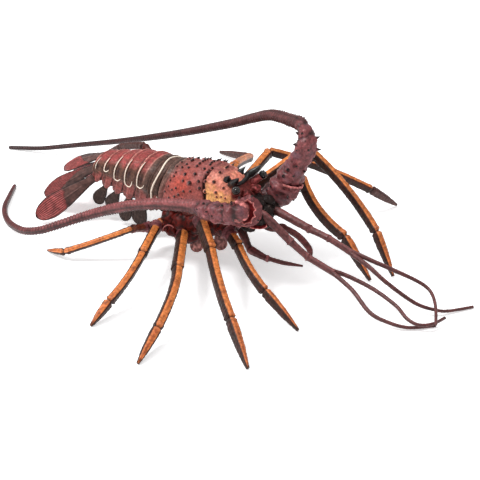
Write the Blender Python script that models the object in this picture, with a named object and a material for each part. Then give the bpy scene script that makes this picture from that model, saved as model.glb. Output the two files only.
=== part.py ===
"""Toy figure of a spiny lobster: a moulded plastic animal that stands on its leg tips.

Every length below is in millimetres, in the animal's own axes: +X runs to the head, +Y to its left
side and +Z up, with the floor at z = 0. The last step moves the whole figure so that its origin is
at the middle of the box around it, on the floor.
"""
import math

import bmesh
import bpy
from mathutils import Vector

MM = 0.001
SEAM = 0.3
WELD = 0.01
SHARP_EDGE = 50
TUBE_ROUNDNESS = 2

# The head and thorax in one piece, as (x, half width, top, height of the widest line, bottom).
CARAPACE = [
    (-30.0, 12.8, 44.4, 29.5, 19.0),
    (-27.0, 13.8, 45.4, 29.5, 16.0),
    (-20.0, 14.4, 46.4, 30.0, 14.6),
    (-12.0, 14.4, 48.2, 30.5, 14.0),
    (-5.4, 13.7, 49.2, 31.0, 14.0),
    (-4.0, 12.7, 48.2, 31.0, 14.3),
    (-2.6, 13.5, 48.9, 31.0, 14.3),
    (3.0, 12.9, 47.2, 31.5, 15.0),
    (8.0, 11.7, 44.4, 32.0, 16.4),
    (12.0, 10.2, 41.4, 32.5, 18.4),
    (16.0, 8.0, 38.2, 32.5, 20.6),
    (20.0, 6.2, 35.8, 31.5, 23.0),
    (23.0, 4.4, 33.6, 30.0, 25.4),
]
CARAPACE_STEP = 1.5
CARAPACE_SIDES = 28
BELLY_SQUARENESS = 0.85

# Short spikes of the carapace: (x, y) of the root on the right side, and the length.
CARAPACE_SPIKES = [
    (-25.0, 3.0, 1.3), (-26.0, 8.0, 1.2), (-24.0, 11.6, 1.1), (-21.0, 5.5, 1.4), (-20.5, 10.0, 1.3),
    (-17.5, 1.8, 1.4), (-17.0, 7.6, 1.5), (-16.0, 12.2, 1.2), (-13.5, 4.6, 1.5), (-12.5, 10.4, 1.4),
    (-9.5, 1.8, 1.6), (-9.0, 7.4, 1.6), (-8.0, 12.0, 1.2), (-6.6, 4.4, 1.6), (-0.5, 2.2, 1.8),
    (0.2, 7.2, 1.9), (0.8, 11.0, 1.4), (4.6, 9.6, 1.5),
]
MIDLINE_SPIKES = (-22.5, -15.0, -7.8)
MIDLINE_SPIKE_LENGTH = 1.5
# How much a spike leans to the front, and its foot's inset as a share of the face that it grows from.
SPIKE_LEAN = (0.36, 0, 0)
SPIKE_INSET = 0.175
CHEEK_SPIKE = ((4.6, 5.2), 3.2)
HORN_ROOT = (7.6, 6.2)
HORN_TIP = (14.0, 8.2, 48.6)
# The horn's two rings as (share of the way to its tip, size against the ring before).
HORN_RINGS = ((0.4, 0.85), (0.75, 0.75))

# The abdomen as (x, half width, top, height of the widest line, lowest edge of the side plates).
ABDOMEN = [
    (-30.2, 12.6, 43.6, 30.0, 24.0),
    (-36.0, 13.9, 44.2, 30.0, 18.8),
    (-45.0, 13.1, 44.2, 31.0, 19.6),
    (-53.6, 12.1, 43.0, 30.6, 20.4),
    (-61.4, 11.1, 40.6, 30.2, 20.6),
    (-69.0, 10.3, 38.8, 29.8, 21.4),
    (-77.0, 9.2, 36.6, 29.0, 22.2),
]
ABDOMEN_ARCH_POINTS = 17
ARCH_SQUARENESS = 0.84
# Along one ring of the abdomen: how far, how deep it lies under its full size, and how much of the
# gap between two side plates has opened there.
RING_STATIONS = ((0.02, 1.0, 1), (0.35, 0.35, 0.2), (0.7, 0.0, 0), (0.97, 0.0, 0.6))
PLATE_GAP_RISE = 4.4
# The side plates and the hollow between them, as shares of the half width.
PLATE_OUTSIDE = 0.9
PLATE_EDGE = 0.82
PLATE_INSIDE = 0.66
BELLY_EDGE = 0.4
INNER_EDGE_RISE = 0.6
BELLY_RISE = 3.6
BELLY_THICKNESS = 2

# Each leg as root, hip, knee, shin, ankle and tip, then the thickness of its thigh.
LEGS = {
    "leg_right_1": (
        (2, -8, 20), (9, -12, 22.5), (19.3, -17.3, 19.5), (31.6, -25.8, 15.5), (43.7, -30.4, 10),
        (66.1, -36.7, 0), 5.6),
    "leg_right_2": (
        (-7, -8.5, 19), (-4.4, -16, 27), (13.4, -30.6, 21.5), (29.6, -46.3, 16.5), (45.9, -59.5, 10.5),
        (65.6, -74.1, 0), 6.2),
    "leg_right_3": (
        (-14, -8, 17), (-17, -12.8, 15), (5.7, -45.8, 16), (15, -61.3, 13.5), (22.3, -81.1, 8),
        (25.8, -98.3, 0), 6.2),
    "leg_right_4": (
        (-21, -8, 17), (-29.5, -17, 16), (-17.6, -42.8, 15), (-11.7, -60.3, 12), (-10.5, -74.7, 7),
        (-10.4, -87.7, 0), 5.6),
    "leg_right_5": (
        (-28, -7, 17), (-35, -16.5, 13), (-35.8, -29.4, 17), (-45, -38, 12.6), (-62.3, -48.9, 4.5),
        (-74.8, -47.7, 0), 4.8),
    "leg_left_1": (
        (2, 8, 20), (6, 18, 26), (24.2, 27.5, 39.4), (34.2, 27, 25.2), (51.0, 25.5, 16.2),
        (69.1, 20.1, 0), 6.2),
    "leg_left_2": (
        (-6, 8.5, 19), (-2, 17, 27), (16.7, 44, 46.6), (40.6, 40.6, 34), (63.1, 34, 19),
        (76, 29.8, 0), 5.8),
    "leg_left_3": (
        (-13.6, 8, 18), (-9, 17, 25), (-6.3, 45, 38.7), (11.8, 62, 29), (32.2, 82, 13.8),
        (39.3, 97.5, 0), 5.4),
    "leg_left_4": (
        (-21, 8, 17), (-24, 17, 21), (-26, 42, 27), (-37.6, 65, 18.2), (-49.3, 88, 8.4),
        (-77.4, 97.6, 0), 5.6),
    "leg_left_5": (
        (-28, 7, 16), (-43, 18.6, 13), (-75, 28, 30), (-84.4, 30, 27.1), (-94.8, 32, 22.6),
        (-112, 36, 11), 4.8),
}
LEG_SIDES = 8
# Along one limb segment: how far, and how thick against the full thickness.
SEGMENT_PROFILE = ((0.0, 0.82), (0.12, 1.0), (0.55, 0.96), (0.94, 0.98))
TIP_PROFILE = ((0.0, 0.82), (0.22, 1.0), (0.6, 0.78), (0.92, 0.4))
SEGMENT_THICKNESS = (1.08, 1.0, 0.86, 0.88)
LEG_FLATNESS = 0.86
TIP_RADIUS = 0.9

# Long feelers as (x, y, z, radius) along the middle of the feeler.
LEFT_ANTENNA = [
    (9, 7.5, 29.5, 4.4), (13, 10.6, 30.2, 5.2), (18, 13.6, 33, 6.2), (21.4, 15.4, 36.8, 7.2),
    (22.6, 16, 39.2, 8.0), (23.2, 16.3, 40.8, 6.0), (25.4, 16.8, 45.4, 6.2), (28, 17.3, 50.6, 5.0),
    (29.4, 17.5, 53.4, 4.6), (32.4, 18, 60.4, 5.0), (31.8, 19.4, 65.8, 4.1), (26, 23, 69, 3.2),
    (19.6, 26, 68.1, 2.9), (3.6, 32, 65.2, 2.7), (-11.1, 36, 58.6, 2.5), (-26.2, 39, 51.1, 2.35),
    (-55.4, 43, 38.2, 2.1), (-78.9, 46, 28.5, 1.9), (-109.1, 48, 17.2, 1.6), (-136, 44.8, 9.2, 1.45),
    (-148.4, 40.4, 6.3, 1.35), (-160.6, 36.6, 3.5, 1.25), (-173.8, 32.7, 1.7, 1.15), (-180, 30.3, 1.3, 1.0),
]
RIGHT_ANTENNA_BASE = [
    (9, -7.5, 29.5, 4.4), (14, -11, 31.6, 5.0), (19, -13.8, 35.4, 5.8), (23.6, -15.9, 38.6, 7.0),
    (25.4, -16.6, 39.8, 8.0),
]
RIGHT_ANTENNA = [
    (24.4, -18.6, 39.4, 3.6), (21.5, -21.6, 39.4, 4.7), (13.2, -23, 37.5, 4.9), (5, -23.6, 37, 4.4),
    (0.6, -24, 36.8, 3.6), (-4, -24.6, 36.9, 3.0), (-18.2, -28, 35, 2.7), (-27, -30, 33, 2.6),
    (-38.1, -32, 29.3, 2.45), (-51, -33, 23.4, 2.3), (-61.5, -35.9, 18.5, 2.15), (-70.9, -41.2, 14, 2.0),
    (-80.7, -45.5, 9.5, 1.9), (-91, -46.9, 6.5, 1.8), (-102.7, -44.1, 5, 1.7), (-112.4, -38.8, 4.3, 1.6),
    (-122.1, -30.1, 3.5, 1.5), (-130.7, -18.7, 2.5, 1.35), (-140.1, -5.2, 1.3, 1.1),
]
ANTENNA_STEP = 6.5
# Spikes of the long feelers' thick ends as (x, y, z, length).
PEDUNCLE_SPIKES = [
    (20, 18, 39, 1.8), (21, 14, 41, 1.8), (25, 13, 33, 1.4), (22, 18, 48, 2.2), (29, 20, 44, 1.6),
    (26, 15, 56, 2.4), (28, 16, 62, 2.4), (36, 18, 55, 2.0), (37, 20, 62, 2.0),
]
PEDUNCLE_LEAN = (0, 0, 0.24)
ARM_SPIKES = [(20, -24, 44, 1.6), (12, -22, 43, 1.6), (4, -25, 41, 1.4), (8, -28, 38, 1.4)]
ARM_LEAN = (0.24, 0, 0)

# Small feelers as a stem, then the two whips that it splits into.
LEFT_STEM = [
    (18, 4.6, 31.8, 2.0), (22.8, 5, 31.4, 2.1), (42.4, 5, 27.4, 1.9), (44, 5, 27, 2.3), (45.4, 5, 26.8, 1.7),
    (53.4, 5, 25.6, 1.6), (54.8, 5, 25.3, 1.9), (56, 5, 25, 1.5), (66.8, 6, 21.1, 1.6),
]
LEFT_WHIPS = [
    [(65.8, 6, 21.6, 1.1), (75.4, 7.7, 19.5, 1.05), (85.4, 10.6, 16.5, 1.0), (95.4, 14.6, 12.5, 0.9),
     (100.8, 15.8, 10, 0.85), (105.1, 13.6, 8.5, 0.8), (110.3, 7.2, 7, 0.75), (116.3, -3.6, 5.5, 0.7)],
    [(65.8, 5.6, 21.4, 1.1), (77.1, 4.1, 18, 1.05), (87.3, 3.2, 13.5, 1.0), (100.3, 6.5, 6, 0.9),
     (108.5, 11.1, 3, 0.8), (112.7, 16.2, 1.5, 0.75), (119.4, 26.9, 0.8, 0.7)],
]
RIGHT_STEM = [
    (18, -4.4, 33, 2.0), (25.7, -5, 32.2, 2.1), (38.2, -4.1, 23.8, 1.9), (39.6, -4, 22.8, 2.3),
    (40.8, -3.9, 22, 1.7), (47.6, -3.1, 17.7, 1.6), (48.8, -3, 17, 2.0), (50.2, -2.9, 16.6, 1.6),
    (62.4, -2, 12.8, 1.6),
]
RIGHT_WHIPS = [
    [(61.4, -2.2, 13, 1.1), (74.3, -5.4, 9.5, 1.05), (86.8, -10.9, 5, 1.0), (96, -10.7, 3, 0.9),
     (104.7, -7.1, 1.5, 0.8), (113.3, 2.4, 0.8, 0.7)],
    [(61.4, -1.6, 13, 1.1), (67.4, 1.2, 11.5, 1.05), (81, 1.7, 9, 1.0), (94.8, -1.3, 6.5, 0.9),
     (103, -5.4, 4.6, 0.85), (108.9, -5.4, 3.6, 0.8), (113.2, -0.6, 3.2, 0.75), (114.4, 9, 2, 0.7)],
]
WHIP_STEP = 4.5

# Feeding limbs under the head.
JAW_LEGS = {
    "jaw_leg_right": [
        (11.6, -5.6, 24, 2.4), (14.6, -7, 20.3, 2.5), (18.8, -7.9, 14.8, 2.1), (20.4, -8, 13.8, 2.3),
        (27.4, -7.1, 11.8, 2.0), (29, -7, 11.7, 2.1), (37, -5, 11.1, 1.3), (44.8, -1, 10.2, 0.6),
    ],
    "jaw_leg_left": [
        (15, 3.8, 23.6, 2.4), (22.5, 4, 21.3, 2.4), (28.3, 6, 22.2, 2.5), (30, 6.2, 21.8, 2.0),
        (36.5, 7, 19.5, 2.3), (42.8, 7, 15.1, 2.1), (44.4, 6, 11.6, 0.9),
    ],
}

# The eyes stand out from the head on stalks.
EYE_CENTRE = (13.2, 10.8, 44.1)
EYE_RADIUS = 2.2
STALK_ROOT = (8.6, 5.6, 39.2)
STALK_RADIUS = 1.5
EYE_SEGMENTS = 12
EYE_RINGS = 8

# Flat plates as base, tip, facing direction, width and thickness; the right ones are mirrored.
TELSON = ((-78.0, 0, 34.4), (-106, 0, 20.6), (-0.45, -0.36, 0.82), 13.0, 1.8)
TAIL_PLATES = {
    "inner": ((-78.2, -6.0, 29.6), (-110.0, -12.6, 8.8), (-0.15, -0.6, 0.78), 13.0, 1.6),
    "outer": ((-78.0, -8.0, 24.6), (-100.2, -29.2, 4.0), (0.45, -0.79, 0.39), 11.6, 1.6),
}
SWIMMERETS = [
    ((-45.6, -8.6, 21.5), (-48.8, -9.4, 7.4), 9.0),
    ((-54.0, -8.2, 21.5), (-58.6, -9.2, 6.6), 7.6),
    ((-62.4, -7.6, 21.5), (-68.6, -8.8, 10.4), 7.6),
    ((-71.0, -7.0, 21.6), (-77.4, -8.6, 10.8), 7.2),
]
SWIMMERET_THICKNESS = 1.8
SWIMMERET_FACING = (0.15, -1, 0)
BELLY_FLAPS = {
    "belly_flap_right": ((-13.0, -4.6, 13.4), (-14.6, -6.4, 1.2), 6.8),
    "belly_flap_left": ((-6.6, 2.2, 13.4), (-5.6, 2.6, 1.2), 6.8),
}
FLAP_THICKNESS = 3.0
FLAP_FACING = (0.6, -0.8, 0)
PLATE_SIDES = 8
# How much thinner a plate is at its tip than at its base, as a share.
PLATE_TAPER = 0.45
# Along a plate: how far, and how wide against the full width.
PLATE_PROFILE = (
    (0.0, 0.36), (0.14, 0.44), (0.34, 0.7), (0.56, 0.93), (0.76, 1.0), (0.89, 0.8), (0.96, 0.52), (1.0, 0.2),
)

# Plain colours of the pieces as linear red, green and blue, then the roughness.
COLOURS = {
    "shell": ((0.33, 0.085, 0.07), 0.5),
    "feelers": ((0.24, 0.075, 0.08), 0.5),
    "legs": ((0.62, 0.2, 0.05), 0.5),
    "dark": ((0.07, 0.05, 0.045), 0.5),
    "eyes": ((0.01, 0.01, 0.01), 0.2),
}


def clear_scene():
    for thing in list(bpy.data.objects):
        bpy.data.objects.remove(thing, do_unlink=True)


def make_collection(name):
    collection = bpy.data.collections.new(name)
    bpy.context.scene.collection.children.link(collection)
    return collection


def make_material(name):
    colour, roughness = COLOURS[name]
    material = bpy.data.materials.new(name)
    material.use_nodes = True
    shader = material.node_tree.nodes["Principled BSDF"]
    shader.inputs["Base Color"].default_value = (*colour, 1)
    shader.inputs["Roughness"].default_value = roughness
    shader.inputs["Metallic"].default_value = 0
    return material


def mirrored(point):
    """The same place on the animal's other side."""
    return (point[0], -point[1], *point[2:])


def blend(first, second, share):
    return tuple(a + (b - a) * share for a, b in zip(first, second))


def smooth_route(points, step):
    """Points about one step apart on a smooth curve through the given points, each of any size."""
    route = []
    last = len(points) - 1
    for i in range(last):
        before, start = points[max(i - 1, 0)], points[i]
        end, after = points[i + 1], points[min(i + 2, last)]
        pieces = max(1, round(math.dist(start[:3], end[:3]) / step))
        for k in range(pieces):
            t = k / pieces
            route.append(tuple(
                b + 0.5 * t * (c - a + t * (2 * a - 5 * b + 4 * c - d + t * (3 * (b - c) + d - a)))
                for a, b, c, d in zip(before, start, end, after)))
    route.append(tuple(points[-1]))
    return route


def loft(name, rings, collection, material):
    """A closed body through rings that all have the same number of points, with flat ends."""
    mesh = bmesh.new()
    rows = [[mesh.verts.new(Vector(point) * MM) for point in ring] for ring in rings]
    for near, far in zip(rows, rows[1:]):
        for i in range(len(near)):
            j = (i + 1) % len(near)
            mesh.faces.new((near[i], near[j], far[j], far[i]))
    mesh.faces.new(rows[0][::-1])
    mesh.faces.new(rows[-1])
    bmesh.ops.recalc_face_normals(mesh, faces=mesh.faces)
    return link_mesh(name, mesh, collection, material)


def link_mesh(name, mesh, collection, material):
    data = bpy.data.meshes.new(name)
    mesh.to_mesh(data)
    mesh.free()
    data.materials.append(material)
    data.shade_smooth()
    data.set_sharp_from_angle(angle=math.radians(SHARP_EDGE))
    thing = bpy.data.objects.new(name, data)
    collection.objects.link(thing)
    return thing


def bake(thing, collection, material):
    """The object as a plain mesh with welded caps, in place of its curve or modifiers."""
    name = thing.name
    data = bpy.data.meshes.new_from_object(thing.evaluated_get(bpy.context.evaluated_depsgraph_get()))
    mesh = bmesh.new()
    mesh.from_mesh(data)
    mesh.transform(thing.matrix_world)
    bmesh.ops.remove_doubles(mesh, verts=mesh.verts, dist=WELD * MM)
    bpy.data.objects.remove(thing, do_unlink=True)
    bpy.data.meshes.remove(data)
    return link_mesh(name, mesh, collection, material)


def combine(kept, other, operation, collection, material):
    """A union with the other object, which is used up, or a cut by it, which leaves it."""
    modifier = kept.modifiers.new(operation.lower(), "BOOLEAN")
    modifier.operation = operation
    modifier.object = other
    result = bake(kept, collection, material)
    if operation == "UNION":
        bpy.data.objects.remove(other, do_unlink=True)
    return result


def make_tube(name, points, step, collection, material):
    """A round bar of changing radius through (x, y, z, radius) points."""
    curve = bpy.data.curves.new(name, "CURVE")
    curve.dimensions = "3D"
    curve.bevel_depth = MM
    curve.bevel_resolution = TUBE_ROUNDNESS
    curve.use_fill_caps = True
    route = smooth_route(points, step)
    spline = curve.splines.new("POLY")
    spline.points.add(len(route) - 1)
    for point, (x, y, z, radius) in zip(spline.points, route):
        point.co = (x * MM, y * MM, z * MM, 1)
        point.radius = radius
    thing = bpy.data.objects.new(name, curve)
    collection.objects.link(thing)
    bpy.context.view_layer.update()
    return bake(thing, collection, material)


def raise_spike(thing, root, length, lean=SPIKE_LEAN):
    """Pulls the face nearest to the root out into a leaning pointed spike."""
    mesh = bmesh.new()
    mesh.from_mesh(thing.data)
    root = Vector(root) * MM
    face = min(mesh.faces, key=lambda f: (f.calc_center_median() - root).length)
    centre, normal = face.calc_center_median(), face.normal.copy()
    across = math.sqrt(face.calc_area())
    bmesh.ops.inset_individual(mesh, faces=[face], thickness=across * SPIKE_INSET)
    tip = bmesh.ops.poke(mesh, faces=[face])["verts"][0]
    tip.co = centre + (normal + Vector(lean)).normalized() * length * MM
    mesh.to_mesh(thing.data)
    mesh.free()


def carapace_ring(x, half_width, top, middle, bottom, grow=0.0):
    ring = []
    for i in range(CARAPACE_SIDES):
        angle = 2 * math.pi * i / CARAPACE_SIDES
        across, rise = math.cos(angle), math.sin(angle)
        y = (half_width + grow) * math.copysign(abs(across) ** BELLY_SQUARENESS, across)
        height = (top - middle + grow) if rise > 0 else (middle - bottom + grow)
        ring.append((x, y, middle + height * rise))
    return ring


def carapace_body(name, grow, collection, material):
    stations = smooth_route([(x, 0, 0, *rest) for x, *rest in CARAPACE], CARAPACE_STEP)
    rings = [carapace_ring(s[0], *s[3:], grow=grow) for s in stations]
    if grow:
        rings[0] = [(x - grow, y, z) for x, y, z in rings[0]]
        rings[-1] = [(x + grow, y, z) for x, y, z in rings[-1]]
    return loft(name, rings, collection, material)


def carapace_height(x, y):
    """Height of the carapace's back over a place, for setting the spikes on it."""
    for near, far in zip(CARAPACE, CARAPACE[1:]):
        if near[0] <= x <= far[0]:
            _, half_width, top, middle, _ = blend(near, far, (x - near[0]) / (far[0] - near[0]))
            across = min(abs(y) / half_width, 1.0) ** (1 / BELLY_SQUARENESS)
            return middle + (top - middle) * math.sqrt(1 - across ** 2)
    raise ValueError(f"no carapace at x = {x}")


def make_carapace(collection, material):
    body = carapace_body("carapace", 0.0, collection, material)
    for x, y, length in CARAPACE_SPIKES:
        for side in (-1, 1):
            raise_spike(body, (x, side * y, carapace_height(x, y)), length)
    for x in MIDLINE_SPIKES:
        raise_spike(body, (x, 0, carapace_height(x, 0)), MIDLINE_SPIKE_LENGTH)
    (x, y), length = CHEEK_SPIKE
    horn_x, horn_y = HORN_ROOT
    for side in (-1, 1):
        raise_spike(body, (x, side * y, carapace_height(x, y)), length)
        root = (horn_x, side * horn_y, carapace_height(horn_x, horn_y))
        reach = Vector(HORN_TIP) - Vector((horn_x, horn_y, root[2]))
        reach.y *= side
        raise_horn(body, root, reach)
    return body


def raise_horn(thing, root, reach):
    """A long horn: the face nearest to the root is drawn out twice, then closed to a point."""
    mesh = bmesh.new()
    mesh.from_mesh(thing.data)
    root = Vector(root) * MM
    face = min(mesh.faces, key=lambda f: (f.calc_center_median() - root).length)
    for share, scale in HORN_RINGS:
        face = bmesh.ops.extrude_discrete_faces(mesh, faces=[face])["faces"][0]
        centre = face.calc_center_median()
        target = root + reach * MM * share
        for vert in face.verts:
            vert.co = target + (vert.co - centre) * scale
    tip = bmesh.ops.poke(mesh, faces=[face])["verts"][0]
    tip.co = root + reach * MM
    mesh.to_mesh(thing.data)
    mesh.free()


def abdomen_ring(x, half_width, top, middle, plate_edge, shrink):
    """An arch over the back, down to the edges of the side plates, and a shallow hollow below."""
    ring = []
    for i in range(ABDOMEN_ARCH_POINTS):
        angle = math.pi * i / (ABDOMEN_ARCH_POINTS - 1)
        y = (half_width - shrink) * math.copysign(abs(math.cos(angle)) ** ARCH_SQUARENESS, math.cos(angle))
        ring.append((x, y, middle + (top - shrink - middle) * math.sin(angle) ** ARCH_SQUARENESS))
    belly = min(plate_edge + BELLY_RISE, middle - BELLY_THICKNESS)
    side = [
        (PLATE_OUTSIDE * half_width - shrink, (middle + plate_edge) / 2), (PLATE_EDGE * half_width, plate_edge),
        (PLATE_INSIDE * half_width, plate_edge + INNER_EDGE_RISE), (BELLY_EDGE * half_width, belly)]
    ring += [(x, -y, z) for y, z in side]
    ring += [(x, y, z) for y, z in reversed(side)]
    return ring


def make_abdomen(collection, material):
    """Six overlapping rings: each swells to its rear edge, then drops to the front of the next."""
    rings = []
    for i, (front, rear) in enumerate(zip(ABDOMEN, ABDOMEN[1:])):
        for share, shrink, rise in RING_STATIONS:
            x, half_width, top, middle, _ = blend(front, rear, share)
            low = rear[4] + PLATE_GAP_RISE * rise
            rings.append(abdomen_ring(x, half_width, top, middle, low, shrink))
    return loft("abdomen", rings, collection, material)


def limb_rings(root, hip, knee, shin, ankle, tip, thickness, sides):
    """Rings of a jointed limb: each segment swells between its joints and the last one is a claw."""
    stations = []
    bow = Vector(shin) - (Vector(knee) + Vector(ankle)) / 2
    segments = ((root, hip), (hip, knee), (knee, ankle), (ankle, tip))
    for i, (start, end) in enumerate(segments):
        profile = TIP_PROFILE if end is tip else SEGMENT_PROFILE
        for share, scale in profile:
            centre = Vector(blend(start, end, share))
            if start is knee:
                centre += bow * 4 * share * (1 - share)
            stations.append((centre, thickness / 2 * scale * SEGMENT_THICKNESS[i]))
    tip = Vector(tip)
    tip.z += TIP_RADIUS
    stations.append((tip, TIP_RADIUS))
    rings = []
    for i, (centre, radius) in enumerate(stations):
        before, after = stations[max(i - 1, 0)][0], stations[min(i + 1, len(stations) - 1)][0]
        along = (after - before).normalized()
        side = along.cross(Vector((0, 0, 1))).normalized()
        up = side.cross(along)
        rings.append([
            centre + side * radius * LEG_FLATNESS * math.cos(a) + up * radius * math.sin(a)
            for a in (2 * math.pi * k / sides for k in range(sides))])
    return rings


def make_leg(name, leg, body, collection, material):
    rings = limb_rings(*leg, LEG_SIDES)
    rings = [[(x, y, max(z, 0.0)) for x, y, z in ring] for ring in rings]
    leg = loft(name, rings, collection, material)
    return combine(leg, body, "DIFFERENCE", collection, material)


def plate_rings(base, tip, facing, width, thickness):
    """Rings of a flat plate with a rounded end, from its base to its tip."""
    base, tip, facing = Vector(base), Vector(tip), Vector(facing)
    along = (tip - base).normalized()
    across = along.cross(facing).normalized()
    facing = across.cross(along)
    rings = []
    for share, scale in PLATE_PROFILE:
        centre = base + (tip - base) * share
        half_width, half_depth = width / 2 * scale, thickness / 2 * (1 - PLATE_TAPER * share)
        rings.append([
            centre + across * half_width * math.cos(a) + facing * half_depth * math.sin(a)
            for a in (2 * math.pi * k / PLATE_SIDES for k in range(PLATE_SIDES))])
    return rings


def make_plate(name, base, tip, facing, width, thickness, collection, material):
    return loft(name, plate_rings(base, tip, facing, width, thickness), collection, material)


def make_eye(name, side, body, collection, material):
    """A round eye on a short stalk that grows from the head."""
    centre, root = Vector(EYE_CENTRE), Vector(STALK_ROOT)
    centre.y *= side
    root.y *= side
    stalk = make_tube(name, [(*root, STALK_RADIUS), (*centre, STALK_RADIUS)], 4, collection, material)
    mesh = bmesh.new()
    bmesh.ops.create_uvsphere(mesh, u_segments=EYE_SEGMENTS, v_segments=EYE_RINGS, radius=EYE_RADIUS * MM)
    bmesh.ops.translate(mesh, verts=mesh.verts, vec=centre * MM)
    ball = link_mesh(name + "_ball", mesh, collection, material)
    eye = combine(stalk, ball, "UNION", collection, material)
    return combine(eye, body, "DIFFERENCE", collection, material)


def make_small_feeler(name, stem, whips, body, collection, material):
    """A jointed stem that splits into two whips."""
    feeler = make_tube(name, stem, WHIP_STEP, collection, material)
    for i, whip in enumerate(whips):
        branch = make_tube(f"{name}_whip_{i}", whip, WHIP_STEP, collection, material)
        feeler = combine(feeler, branch, "UNION", collection, material)
    return combine(feeler, body, "DIFFERENCE", collection, material)


def make_long_feelers(body, collection, material):
    left = make_tube("antenna_left", LEFT_ANTENNA, ANTENNA_STEP, collection, material)
    for x, y, z, length in PEDUNCLE_SPIKES:
        raise_spike(left, (x, y, z), length, PEDUNCLE_LEAN)
    combine(left, body, "DIFFERENCE", collection, material)
    base = make_tube("antenna_right", RIGHT_ANTENNA_BASE, ANTENNA_STEP, collection, material)
    arm = make_tube("antenna_right_arm", RIGHT_ANTENNA, ANTENNA_STEP, collection, material)
    for x, y, z, length in ARM_SPIKES:
        raise_spike(arm, (x, y, z), length, ARM_LEAN)
    right = combine(base, arm, "UNION", collection, material)
    combine(right, body, "DIFFERENCE", collection, material)


def make_tail(collection, shell):
    base, tip, facing, width, thickness = TELSON
    make_plate("telson", base, tip, facing, width, thickness, collection, shell)
    for place, (base, tip, facing, width, thickness) in TAIL_PLATES.items():
        make_plate(f"tail_{place}_right", base, tip, facing, width, thickness, collection, shell)
        make_plate(f"tail_{place}_left", mirrored(base), mirrored(tip), mirrored(facing), width, thickness,
                   collection, shell)


def make_swimmerets(collection, dark):
    for i, (base, tip, width) in enumerate(SWIMMERETS, start=1):
        make_plate(f"swimmeret_right_{i}", base, tip, SWIMMERET_FACING, width, SWIMMERET_THICKNESS,
                   collection, dark)
        make_plate(f"swimmeret_left_{i}", mirrored(base), mirrored(tip), mirrored(SWIMMERET_FACING), width,
                   SWIMMERET_THICKNESS, collection, dark)


def settle(collection):
    """Parents every piece to one empty and moves it, so that the box's bottom centre is the origin."""
    root = bpy.data.objects.new("lobster", None)
    collection.objects.link(root)
    pieces = [thing for thing in collection.objects if thing.type == "MESH"]
    corners = [vert.co for thing in pieces for vert in thing.data.vertices]
    low = [min(corner[axis] for corner in corners) for axis in range(3)]
    high = [max(corner[axis] for corner in corners) for axis in range(3)]
    for thing in pieces:
        thing.parent = root
    root.location = (-(low[0] + high[0]) / 2, -(low[1] + high[1]) / 2, -low[2])
    bpy.context.view_layer.update()


def build():
    clear_scene()
    collection = make_collection("toy_spiny_lobster")
    shell, feelers, legs, dark, eyes = (make_material(name) for name in COLOURS)
    make_carapace(collection, shell)
    body = carapace_body("socket_shape", SEAM, collection, shell)
    make_abdomen(collection, shell)
    make_tail(collection, shell)
    make_swimmerets(collection, dark)
    for name, leg in LEGS.items():
        make_leg(name, leg, body, collection, legs)
    make_long_feelers(body, collection, feelers)
    make_small_feeler("feeler_left", LEFT_STEM, LEFT_WHIPS, body, collection, feelers)
    make_small_feeler("feeler_right", RIGHT_STEM, RIGHT_WHIPS, body, collection, feelers)
    for name, points in JAW_LEGS.items():
        jaw = make_tube(name, points, WHIP_STEP, collection, feelers)
        combine(jaw, body, "DIFFERENCE", collection, feelers)
    make_eye("eye_right", -1, body, collection, eyes)
    make_eye("eye_left", 1, body, collection, eyes)
    for name, (base, tip, width) in BELLY_FLAPS.items():
        make_plate(name, base, tip, FLAP_FACING, width, FLAP_THICKNESS, collection, dark)
    bpy.data.objects.remove(body, do_unlink=True)
    settle(collection)


build()
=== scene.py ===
"""Painted looks of the toy spiny lobster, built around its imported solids.

Lengths are in millimetres in the animal's own axes, as in the part's source: +X runs to the head,
+Y to its left side and +Z up, with the floor at z = 0. place() turns them into the row frame.
"""
import math

import bpy
import numpy as np
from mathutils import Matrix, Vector, noise


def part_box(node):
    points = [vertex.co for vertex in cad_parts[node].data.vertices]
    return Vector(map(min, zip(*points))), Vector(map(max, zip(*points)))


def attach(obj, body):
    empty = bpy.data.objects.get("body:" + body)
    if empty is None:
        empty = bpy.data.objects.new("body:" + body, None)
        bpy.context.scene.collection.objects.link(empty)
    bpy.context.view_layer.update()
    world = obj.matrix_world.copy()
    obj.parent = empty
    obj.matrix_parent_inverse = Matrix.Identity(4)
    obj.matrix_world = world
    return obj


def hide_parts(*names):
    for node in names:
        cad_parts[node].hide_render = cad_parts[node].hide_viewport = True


MM = 0.001
TINY = 1e-9

# The photograph's view: angles of the camera and the millimetres that one pixel shows.
CAMERA_AZIMUTH = math.radians(36)
CAMERA_ELEVATION = math.radians(28)
CAMERA_DISTANCE = 612.5
PIXEL = 0.49
IMAGE_SIZE = 480
SENSOR = 36
CLIP_START = 0.01
VIEW_CENTRE = (6.27, 8.43)

# Studio light: the pale surroundings, and lamps as name, place in metres, size and power.
WORLD_LIGHT = 0.5
FLOOR_SIZE = 12
FLOOR_GLOW = 0.48
LAMPS = [
    ("top_softbox", (0.0, 0.05, 0.95), 0.7, 3.0),
    ("key_light", (-0.30, -0.36, 0.66), 0.16, 4.0),
]

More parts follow.
